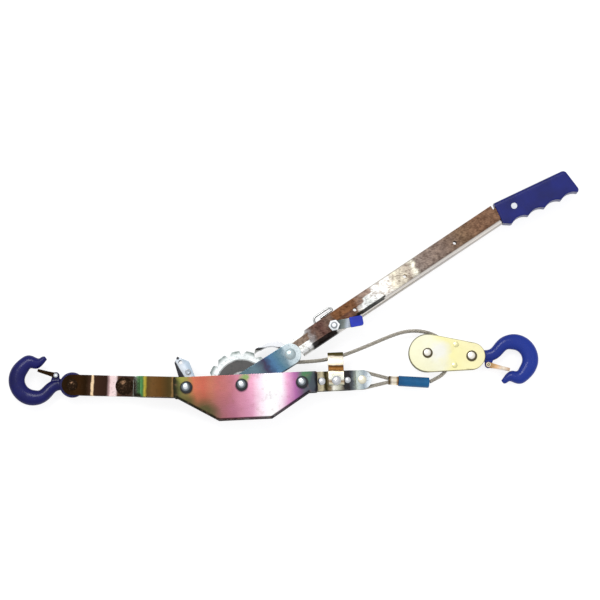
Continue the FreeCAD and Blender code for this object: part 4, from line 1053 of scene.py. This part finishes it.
GALVANISED = Spangle(
    "galvanised handle",
    (
        (0.0, (0.90, 0.93, 0.90)), (0.025, (0.88, 0.90, 0.88)), (0.04, (0.30, 0.29, 0.29)),
        (0.07, (0.13, 0.078, 0.06)), (0.11, (0.11, 0.055, 0.045)), (0.15, (0.15, 0.10, 0.075)),
        (0.20, (0.11, 0.06, 0.035)), (0.26, (0.12, 0.055, 0.035)), (0.30, (0.16, 0.10, 0.07)),
        (0.325, (0.84, 0.86, 0.84)), (0.36, (0.60, 0.62, 0.60)), (0.40, (0.88, 0.88, 0.85)),
        (0.485, (0.93, 0.88, 0.80)), (0.51, (0.74, 0.68, 0.55)), (0.56, (0.66, 0.60, 0.48)),
        (0.60, (0.46, 0.39, 0.32)), (0.632, (0.88, 0.86, 0.72)), (0.652, (0.27, 0.22, 0.19)),
        (0.70, (0.24, 0.185, 0.155)), (0.80, (0.21, 0.15, 0.12)), (0.90, (0.19, 0.12, 0.075)),
        (1.0, (0.19, 0.105, 0.065)),
    ),
    (0.0853, 0.0456),
    (0.3209, 0.1884),
    (
        # The two near-black strips are painted shade on the handle's edge; the brown ones are the
        # coating's colour.
        Band((0.03, 0.17), (0.14, 3.0), (0.012, 0.012, 0.012)),
        Band((0.29, 0.43), (0.10, 0.54), (0.015, 0.015, 0.012)),
        Band((-0.10, 0.04), (-1.4, -0.58), (0.15, 0.08, 0.04)),
        Band((0.18, 0.33), (-3.0, -0.70), (0.17, 0.075, 0.033), 0.85),
        Band((0.33, 0.40), (-3.0, -1.20), (0.19, 0.10, 0.06), 0.85),
    ),
    (
        # Painted light and shade along the edges: cream strips of painted light on the lower
        # flange, and dark lines of painted shade on its outer edge, on the fold and along the top
        # edge.
        Band((0.17, 0.29), (0.46, 3.0), (0.80, 0.78, 0.74), 0.9),
        Band((0.29, 0.43), (0.55, 3.0), (0.94, 0.89, 0.82), 0.97),
        Band((0.43, 1.2), (0.34, 3.0), (0.95, 0.90, 0.83), 0.97),
        Band((0.20, 1.2), (0.71, 3.0), (0.34, 0.31, 0.28), 0.8),
        Band((0.45, 1.2), (0.35, 0.38), (0.16, 0.11, 0.09), 0.6),
        Band((0.40, 0.66), (-3.0, -1.78), (0.36, 0.33, 0.28), 0.75),
    ),
    (1.5, 1.5, 1.45),
    (0.55, 0.50, 0.47),
    scratch_turn=-31.2,
    scratch_waves=80.0,
    scratch_stretch=30.0,
    dent_waves=22.0,
    dent_detail=2.0,
    dent_depth=0.5 * MM,
)
HOOK_PAINT = Enamel(
    "blue hook paint",
    (0.005, 0.006, 0.10),
    (0.003, 0.003, 0.062),
    # The third blue is painted light, brightening the paint towards the load hook.
    (0.009, 0.030, 0.25),
    (0.04, 0.05, 0.2),
)
GRIP_PLASTIC = Moulded("blue grip plastic", (0.004, 0.009, 0.14), (0.003, 0.006, 0.09))
CAP_PLASTIC = Moulded("blue lever cap", (0.014, 0.035, 0.42), (0.010, 0.02, 0.28))
SLEEVE_PLASTIC = Moulded("blue rope sleeve", (0.005, 0.10, 0.25), (0.003, 0.06, 0.16))
WHITE_PLUG = Moulded("white plug", (0.72, 0.74, 0.78), (0.60, 0.62, 0.66))
COPPER = Plating(
    "brass and copper ferrule",
    (
        (0.0, (0.25, 0.17, 0.08)), (0.2, (0.10, 0.07, 0.03)), (0.4, (0.90, 0.82, 0.68)),
        (0.75, (0.90, 0.80, 0.60)), (0.9, (0.36, 0.20, 0.08)), (1.0, (0.10, 0.06, 0.03)),
    ),
    (0.189, -0.004),
    (0.203, -0.005),
    drift=0.04,
)
ROPE_WIRE = LaidWire("rope wire", (0.62, 0.58, 0.50), (0.24, 0.22, 0.18))

Finish = Union[Plating, Enamel, Moulded, Spangle, LaidWire]


def put(name: str, data: bpy.types.ID) -> bpy.types.Object:
    """A new object in the scene.

    Args:
        name: Its name.
        data: Its mesh, curve, lamp or camera.

    Returns:
        The object.
    """
    made = bpy.data.objects.new(name, data)
    bpy.context.scene.collection.objects.link(made)
    return made


def meshed(curve: bpy.types.Curve) -> bpy.types.Mesh:
    """Turns a curve into a mesh.

    Args:
        curve: The curve, which is deleted.

    Returns:
        Its mesh.
    """
    holder = put(curve.name, curve)
    graph = bpy.context.evaluated_depsgraph_get()
    mesh = bpy.data.meshes.new_from_object(holder.evaluated_get(graph))
    bpy.data.objects.remove(holder)
    bpy.data.curves.remove(curve)
    return mesh


def length_of(line: Sequence[Vector]) -> float:
    """The length of a line of points."""
    return sum((b - a).length for a, b in zip(line, line[1:]))


@dataclass
class Workshop:
    """Makes the pieces: it keeps the loaded frame and the materials made so far."""

    frame: dict
    made: dict[str, bpy.types.Material] = field(default_factory=dict)
    weld: float = 0.002 * MM
    flat: float = 0.6
    crease: float = 32.0
    rounded_from: float = 35.0
    rounding_steps: int = 2

    def paint(self, piece: bpy.types.Object, finish: Finish) -> None:
        """Gives a piece its one material.

        Args:
            piece: The piece.
            finish: Its finish.
        """
        if finish.name not in self.made:
            self.made[finish.name] = finish.material()
        piece.data.materials.clear()
        piece.data.materials.append(self.made[finish.name])

    def body_of(self, node: str) -> str:
        """The body that a node belongs to."""
        bodies = self.frame["record"]["behaviour"]["bodies"]
        return next(body for body, nodes in bodies.items() if node in nodes)

    def slot_of(self, node: str) -> str:
        """The material slot that the record gives a node."""
        parts = self.frame["record"]["subparts"]
        return next(part["material_slot"] for part in parts if part["node"] == node)

    def settle(self, piece: bpy.types.Object, finish: Finish, node: str) -> bpy.types.Object:
        """Lets a piece ride and stand for its node.

        Args:
            piece: The finished piece.
            finish: Its finish.
            node: The node that it stands for.

        Returns:
            The piece.
        """
        self.paint(piece, finish)
        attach(piece, self.body_of(node))
        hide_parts(node)
        self.slot_of(node)
        LOG.info("%s stands for %s", piece.name, node)
        return piece

    def merged(self, node: str, ending: str) -> bpy.types.Object:
        """A copy of a node's mesh as one closed, smooth surface.

        Args:
            node: The node.
            ending: What the piece's name adds to the node's.

        Returns:
            The new piece.
        """
        mesh = self.frame["nodes"][node].data.copy()
        mesh.name = f"{node}_{ending}"
        normals = mesh.attributes.get("custom_normal")
        if normals:
            mesh.attributes.remove(normals)
        shape = bmesh.new()
        shape.from_mesh(mesh)
        bmesh.ops.remove_doubles(shape, verts=shape.verts, dist=self.weld)
        bmesh.ops.dissolve_limit(
            shape, angle_limit=math.radians(self.flat), verts=shape.verts, edges=shape.edges
        )
        for face in shape.faces:
            face.smooth = True
        crease = math.radians(self.crease)
        for edge in shape.edges:
            edge.smooth = len(edge.link_faces) == 2 and edge.calc_face_angle() < crease
        shape.to_mesh(mesh)
        shape.free()
        return put(mesh.name, mesh)

    def dress(self, finish: Finish, *nodes: str, edge: Edge = Edge.SHEET) -> None:
        """Makes the pieces that stand for nodes, with rounded edges.

        Args:
            finish: Their finish.
            nodes: The nodes, one to a piece.
            edge: How far their edges are rounded.
        """
        for node in nodes:
            piece = self.merged(node, "finished")
            if edge is not Edge.NONE:
                rounding = piece.modifiers.new("rounding", "BEVEL")
                rounding.limit_method = "ANGLE"
                rounding.angle_limit = math.radians(self.rounded_from)
                rounding.width = edge.value
                rounding.segments = self.rounding_steps
                rounding.harden_normals = True
            self.settle(piece, finish, node)

    def forge(self, finish: Finish, node: str, grain: float, passes: int) -> None:
        """Makes a node's piece as one soft-edged form, as a forging or a moulding is.

        Args:
            finish: Its finish.
            node: The node.
            grain: The size of the mesh's squares, in metres.
            passes: How often the surface is smoothed.
        """
        piece = self.merged(node, "forged")
        skin = piece.modifiers.new("skin", "REMESH")
        skin.mode = "VOXEL"
        skin.voxel_size = grain
        skin.use_smooth_shade = True
        soft = piece.modifiers.new("soft", "SMOOTH")
        soft.factor = 0.5
        soft.iterations = passes
        self.settle(piece, finish, node)


@dataclass(frozen=True)
class SoftBox:
    """A lamp that faces the middle of the view, by its place from there."""

    name: str
    offset: Point
    size: Span
    watts: float
    mirrored: bool


@dataclass
class Studio:
    """The floor, the lamps and the camera over the winch."""

    centre: Spot = (0.0803, 0.1079)
    view_width: float = 0.780
    distance: float = 5.0
    plane: float = 0.0145
    tilt: float = 4.0
    turn: float = -2.6
    sensor: float = 36.0
    clip_end: float = 20.0
    lamps: tuple[SoftBox, ...] = (
        SoftBox("overhead", (-0.5, 0.8, 1.9), (1.0, 0.7), 16.0, True),
        SoftBox("side", (1.3, -0.2, 1.0), (0.5, 1.2), 6.0, False),
    )
    floor_half: float = 6.0
    floor_height: float = -0.4 * MM
    matte: Colour = (0.8, 0.8, 0.81)
    faint: Colour = (0.28, 0.28, 0.285)
    glow: float = 0.8
    mirrored_share: float = 0.6
    sky_slope: Point = (-0.08, 0.2, 1.0)
    sky_blue: float = 1.02
    sky_levels: tuple[Span, ...] = (
        (0.0, 0.7), (0.46, 0.80), (0.66, 0.62), (0.80, 0.66), (0.90, 0.88), (1.0, 0.97)
    )

    def camera(self) -> None:
        """The camera, almost straight above, and a little to the straps' lower side."""
        data = bpy.data.cameras.new("camera")
        data.sensor_width = self.sensor
        data.lens = self.sensor * self.distance / self.view_width
        data.clip_end = self.clip_end
        camera = put("camera", data)
        tilt, turn = math.radians(self.tilt), math.radians(self.turn)
        back = Matrix.Rotation(turn, 3, "Z") @ Vector((0.0, -math.sin(tilt), math.cos(tilt)))
        camera.location = Vector((*self.centre, self.plane)) + back * self.distance
        camera.rotation_euler = (tilt, 0.0, turn)
        bpy.context.scene.camera = camera

    def lamp(self, box: SoftBox) -> None:
        """Sets up one soft box.

        Args:
            box: The lamp.
        """
        data = bpy.data.lights.new(box.name, "AREA")
        data.shape = "RECTANGLE"
        data.size, data.size_y = box.size
        data.energy = box.watts
        lamp = put(box.name, data)
        (x, y), (dx, dy, height) = self.centre, box.offset
        lamp.location = (x + dx, y + dy, height)
        aim = Vector((x, y, 0.0)) - lamp.location
        lamp.rotation_euler = aim.to_track_quat("-Z", "Y").to_euler()
        lamp.visible_glossy = box.mirrored

    def floor(self) -> None:
        """The pale floor, white to the camera."""
        shape = bmesh.new()
        bmesh.ops.create_grid(shape, x_segments=1, y_segments=1, size=self.floor_half)
        mesh = bpy.data.meshes.new("floor")
        shape.to_mesh(mesh)
        shape.free()
        floor = put("floor", mesh)
        floor.location = (0.0, 0.0, self.floor_height)
        graph = Graph.named("white floor")
        matte, faint = (
            graph.node("ShaderNodeBsdfDiffuse", None, {"Color": (*colour, 1.0)})
            for colour in (self.matte, self.faint)
        )
        emission = {"Color": (*WHITE, 1.0), "Strength": self.glow}
        glow = graph.node("ShaderNodeEmission", None, emission)
        both = graph.node("ShaderNodeAddShader", None, {0: faint, 1: glow})
        camera, glossy = (
            graph.node("ShaderNodeLightPath", output=f"Is {kind} Ray")
            for kind in ("Camera", "Glossy")
        )
        share = camera + glossy * self.mirrored_share
        graph.output(graph.node("ShaderNodeMixShader", None, {0: share, 1: matte, 2: both}))
        mesh.materials.append(graph.owner)

    def sky(self) -> None:
        """A pale studio: bright overhead, dim near the horizon, and white to the camera."""
        world = bpy.data.worlds.new("studio")
        graph = Graph(world)
        spot = graph.node("ShaderNodeTexCoord", output="Generated")
        slope = Vector(self.sky_slope).normalized() * 0.5
        height = graph.vector("DOT_PRODUCT", spot, slope) + 0.5
        stops = [(at, (level, level, level * self.sky_blue)) for at, level in self.sky_levels]
        seen = graph.node("ShaderNodeLightPath", output="Is Camera Ray")
        colour = graph.mix(seen, graph.ramp(height, stops), WHITE)
        light = graph.node("ShaderNodeBackground", None, {"Color": colour})
        graph.output(light, "ShaderNodeOutputWorld")
        bpy.context.scene.world = world

    def build(self) -> None:
        """The whole studio."""
        bpy.context.scene.view_settings.view_transform = "Standard"
        self.camera()
        self.floor()
        self.sky()
        for box in self.lamps:
            self.lamp(box)


@dataclass
class Rope:
    """A laid wire rope: six strands round a core, along a smooth spline."""

    diameter: float = 4.8 * MM
    lay: float = 31.0 * MM
    strands: int = 6
    swell: float = 1.04
    facets: int = 2
    step: float = 1.3 * MM
    smoothness: int = 24

    def line(self, points: Sequence[Point]) -> list[Vector]:
        """Reads the NURBS spline through a route's control points.

        Args:
            points: The route's points.

        Returns:
            The points along it, evenly spaced.
        """
        curve = bpy.data.curves.new("route", "CURVE")
        curve.dimensions = "3D"
        spline = curve.splines.new("NURBS")
        spline.points.add(len(points) - 1)
        for control, point in zip(spline.points, points):
            control.co = (*point, 1.0)
        spline.order_u = 3
        spline.use_endpoint_u = True
        curve.resolution_u = self.smoothness
        mesh = meshed(curve)
        places = [v.co.copy() for v in mesh.vertices]
        bpy.data.meshes.remove(mesh)
        return self.even(places)

    def even(self, places: Sequence[Vector]) -> list[Vector]:
        """Spaces a line's points one step apart.

        Args:
            places: The line's points.

        Returns:
            The new points, with the same two ends.
        """
        total = length_of(places)
        count = max(4, round(total / self.step))
        gap, out, ahead = total / count, [places[0].copy()], total / count
        for a, b in zip(places, places[1:]):
            length = (b - a).length
            while ahead <= length + 1e-9 and len(out) <= count:
                out.append(a.lerp(b, min(1.0, ahead / length)))
                ahead += gap
            ahead -= length
        out[-1] = places[-1].copy()
        return out

    def wind(self, name: str, line: Sequence[Vector]) -> bpy.types.Object:
        """Lays the rope's strands and core round a line, as one mesh.

        Args:
            name: The piece's name.
            line: The rope's centre line.

        Returns:
            The piece.
        """
        radius = self.diameter / 6.0
        curve = bpy.data.curves.new(name, "CURVE")
        curve.dimensions = "3D"
        curve.bevel_depth = radius * self.swell
        curve.bevel_resolution = self.facets
        curve.use_fill_caps = True
        tangents = [(b - a).normalized() for a, b in zip(line, line[1:])]
        tangents.append(tangents[-1])
        side = tangents[0].orthogonal().normalized()
        sides = []
        for tangent in tangents:
            side = (side - tangent * side.dot(tangent)).normalized()
            sides.append(side.copy())
        gap = (line[1] - line[0]).length
        for strand in range(self.strands + 1):
            spline = curve.splines.new("POLY")
            spline.points.add(len(line) - 1)
            out = 0.0 if strand == self.strands else radius * 2.0
            for number, (spot, tangent, side) in enumerate(zip(line, tangents, sides)):
                angle = FULL_TURN * (strand / self.strands + number * gap / self.lay)
                around = side * math.cos(angle) + tangent.cross(side) * math.sin(angle)
                spline.points[number].co = (*(spot + around * out), 1.0)
        mesh = meshed(curve)
        mesh.name = name
        for face in mesh.polygons:
            face.use_smooth = True
        return put(name, mesh)


@dataclass
class WireRope(Rope):
    """The free rope: the lead over the guide, and the bight and return round the sheave."""

    lead: tuple[Point, ...] = (
        (0.018, 0.0268, 0.0217),
        (0.066, 0.0262, 0.0217),
        (0.118, 0.0280, 0.0210),
        (0.160, 0.0420, 0.0185),
        (0.200, 0.0575, 0.0137),
        (0.219, 0.0615, 0.0119),
        (0.228, 0.0610, 0.0117),
    )
    bight: tuple[Point, ...] = (
        (0.228, 0.0610, 0.0117),
        (0.237, 0.0605, 0.0115),
        (0.253, 0.0550, 0.0115),
        (0.264, 0.0455, 0.0115),
        (0.272, 0.0315, 0.0115),
        (0.271, 0.0155, 0.0115),
        (0.2615, 0.0025, 0.0119),
        (0.2495, -0.0034, 0.0136),
        (0.2438, -0.0061, 0.0155),
    )
    lead_ends: tuple[Point, Point] = (0.130, 0.030, 0.020), (0.222, 0.061, 0.012)
    bight_ends: tuple[Point, Point] = (0.2445, -0.0055, 0.0115), (0.2545, 0.0020, 0.0115)

    def stretch(
        self,
        shop: Workshop,
        name: str,
        points: Sequence[Point],
        ends: tuple[Point, Point],
        nodes: Sequence[str],
    ) -> None:
        """Makes one stretch of the free rope, from the winch's frame to the block.

        Args:
            shop: Where it is made.
            name: The piece's name.
            points: Its route.
            ends: Where it starts to leave the frame, and where it has reached the block; not used.
            nodes: The nodes that it stands for.
        """
        line = self.line(points)
        length = length_of(line)
        piece = self.wind(name, line)
        shop.paint(piece, ROPE_WIRE)
        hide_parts(*nodes)
        shop.slot_of(nodes[0])
        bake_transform(piece)
        LOG.info("%s is %.0f mm of rope", name, length / MM)

    def build(self, shop: Workshop) -> None:
        """Makes both stretches, in the order in which the rope runs.

        Args:
            shop: Where they are made.
        """
        self.stretch(shop, "rope_lead_strands", self.lead, self.lead_ends, ("rope_lead",))
        nodes = ("rope_bight", "rope_return")
        self.stretch(shop, "rope_bight_strands", self.bight, self.bight_ends, nodes)


@dataclass
class RopeEye(Rope):
    """The rope's fixed eye round the thimble."""

    centre: Point = (0.156, 0.0, 0.0217)
    bend: float = 10.6 * MM
    foot: Point = (0.190, -0.002, 0.0217)
    spread: float = 2.5 * MM
    segments: int = 40

    def build(self, shop: Workshop) -> None:
        """Makes the loop, tangent to the thimble on both sides.

        Args:
            shop: Where it is made.
        """
        centre, foot = Vector(self.centre), Vector(self.foot)
        legs = []
        for side in (1.0, -1.0):
            start = foot + Vector((0.0, self.spread * side, 0.0))
            away = start - centre
            angle = math.atan2(away.y, away.x) + math.acos(self.bend / away.length) * side
            legs.append((start, angle))
        first, last = legs[0][1], legs[1][1] + FULL_TURN
        angles = (first + (last - first) * n / self.segments for n in range(self.segments + 1))
        around = [centre + Vector((math.cos(a), math.sin(a), 0.0)) * self.bend for a in angles]
        line = self.even([legs[0][0], *around, legs[1][0]])
        shop.settle(self.wind("rope_eye_strands", line), ROPE_WIRE, "rope_eye")


@dataclass
class Winding(Rope):
    """The rope's outer layer on the drum, over the layers below it."""

    low: float = 13.7 * MM
    high: float = 29.7 * MM
    radius: float = 26.8 * MM
    turns: float = 3.0
    turn_points: int = 120
    inner: float = 24.4 * MM
    inset: float = 0.4 * MM
    core_sides: int = 64

    def build(self, shop: Workshop) -> None:
        """Makes the helix of rope and the filled core under it.

        Args:
            shop: Where they are made.
        """
        count = int(self.turns * self.turn_points)
        half = self.diameter / 2.0
        climb = self.high - self.low - self.diameter
        places = []
        for number in range(count + 1):
            share = number / count
            angle = FULL_TURN * self.turns * share
            x, y = self.radius * math.cos(angle), self.radius * math.sin(angle)
            places.append(Vector((x, y, self.low + half + climb * share)))
        piece = self.wind("rope_on_drum", self.even(places))
        shape = bmesh.new()
        shape.from_mesh(piece.data)
        core = bmesh.ops.create_cone(
            shape,
            cap_ends=True,
            segments=self.core_sides,
            radius1=self.inner,
            radius2=self.inner,
            depth=self.high - self.low - self.inset,
        )
        middle = (0.0, 0.0, (self.low + self.high) / 2.0)
        bmesh.ops.translate(shape, verts=core["verts"], vec=middle)
        shape.to_mesh(piece.data)
        shape.free()
        shop.settle(piece, ROPE_WIRE, "rope_winding")


@dataclass
class MainFrame:
    """The side plates, their bolts, and the link in front with its rope guide."""

    plates: tuple[str, ...] = ("side_plate_top", "side_plate_bottom")
    bolts: tuple[str, ...] = (
        "rear_bolt", "drum_axle", "front_bolt", "link_rivet", "guide_bolt", "small_rivet"
    )
    spacers: tuple[str, ...] = ("front_spacer", "link_spacer", "guide_spacer", "thimble")
    straps: tuple[str, ...] = ("front_strap_top", "front_strap_bottom")

    def build(self, shop: Workshop) -> None:
        """Makes each piece with its finish.

        Args:
            shop: Where they are made.
        """
        shop.dress(SIDE_PLATE, *self.plates)
        shop.dress(BOLT_ZINC, *self.bolts, edge=Edge.CRISP)
        shop.dress(BRIGHT_ZINC, *self.spacers, edge=Edge.CRISP)
        shop.dress(FRONT_STRAP, *self.straps)
        shop.dress(RIVET_ZINC, "thimble_pin", edge=Edge.CRISP)
        shop.dress(BRASS_ZINC, "rope_guide")
        shop.dress(COPPER, "ferrule", edge=Edge.SOFT)
        shop.dress(SLEEVE_PLASTIC, "ferrule_sleeve", edge=Edge.SOFT)


@dataclass
class RearLink:
    """The two straps behind the plates, with their rivets."""

    straps: tuple[str, ...] = ("rear_strap_top", "rear_strap_bottom")
    rivets: tuple[str, ...] = ("strap_rivet", "rear_hook_pin")

    def build(self, shop: Workshop) -> None:
        """Makes each piece with its finish.

        Args:
            shop: Where they are made.
        """
        shop.dress(REAR_STRAP, *self.straps)
        shop.dress(DARK_RIVET, *self.rivets, edge=Edge.CRISP)


@dataclass
class SafetyHook:
    """A forged hook with its sprung latch."""

    end: End
    latch_finish: Finish
    grain: float = 0.7 * MM
    passes: int = 5

    def build(self, shop: Workshop) -> None:
        """Makes the hook, the latch and the pin between them.

        Args:
            shop: Where they are made.
        """
        side = self.end.value
        shop.forge(HOOK_PAINT, f"{side}_hook", self.grain, self.passes)
        shop.dress(self.latch_finish, f"{side}_latch", edge=Edge.CRISP)
        shop.dress(PIN_ZINC, f"{side}_latch_pin", edge=Edge.CRISP)


@dataclass
class RatchetDrum:
    """The toothed wheels, the drum and the pawls that work on them."""

    wheels: tuple[str, ...] = ("ratchet_wheel_top", "ratchet_wheel_bottom")
    small: tuple[str, ...] = ("drum_barrel", "trip_wire", "pawl_spring")

    def build(self, shop: Workshop) -> None:
        """Makes each piece with its finish.

        Args:
            shop: Where they are made.
        """
        shop.dress(WHEEL_ZINC, *self.wheels)
        shop.dress(PAWL_ZINC, "driving_pawl", edge=Edge.SOFT)
        shop.dress(WING_ZINC, "holding_pawl", edge=Edge.SOFT)
        shop.dress(BRIGHT_ZINC, *self.small, edge=Edge.NONE)


@dataclass
class LeverHandle:
    """The arms, the long channel, the grip and the direction lever."""

    arms: tuple[str, ...] = ("handle_arm_top", "handle_arm_bottom")
    grain: float = 0.9 * MM
    passes: int = 12

    def build(self, shop: Workshop) -> None:
        """Makes each piece with its finish.

        Args:
            shop: Where they are made.
        """
        shop.dress(BLUE_ZINC, *self.arms)
        shop.dress(GALVANISED, "handle_channel")
        shop.dress(ARM_RIVET, "arm_rivet", edge=Edge.CRISP)
        shop.forge(GRIP_PLASTIC, "grip", self.grain, self.passes)
        shop.dress(WHITE_PLUG, "grip_rivet", edge=Edge.CRISP)
        shop.dress(LEVER_ZINC, "lever_plate")
        shop.dress(CAP_PLASTIC, "lever_cap", edge=Edge.SOFT)
        shop.dress(NUT_ZINC, "lever_bolt", edge=Edge.CRISP)
        shop.dress(NUT_ZINC, "lever_nut")


@dataclass
class SnatchBlock:
    """The block's plates, sheave and rivets."""

    plates: tuple[str, ...] = ("block_plate_top", "block_plate_bottom")
    rivets: tuple[str, ...] = ("sheave_rivet", "block_hook_pin")
    spacers: tuple[str, ...] = ("block_spacer_upper", "block_spacer_lower")

    def build(self, shop: Workshop) -> None:
        """Makes each piece with its finish.

        Args:
            shop: Where they are made.
        """
        shop.dress(YELLOW_ZINC, *self.plates)
        shop.dress(RIVET_ZINC, *self.rivets, edge=Edge.CRISP)
        shop.dress(YELLOW_ZINC, *self.spacers, edge=Edge.CRISP)
        shop.dress(BRIGHT_ZINC, "sheave")


def main() -> None:
    """Builds the studio and every sub-assembly, in order."""
    logging.basicConfig(level=logging.INFO, format="%(name)s: %(message)s")
    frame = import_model()
    shop = Workshop(frame)
    Studio().build()
    for assembly in (
        WireRope(),
        RopeEye(),
        Winding(),
        MainFrame(),
        RearLink(),
        SafetyHook(End.REAR, REAR_STRAP),
        RatchetDrum(),
        LeverHandle(),
        SnatchBlock(),
        SafetyHook(End.LOAD, LATCH_ZINC),
    ):
        assembly.build(shop)


if __name__ == "__main__":
    main()
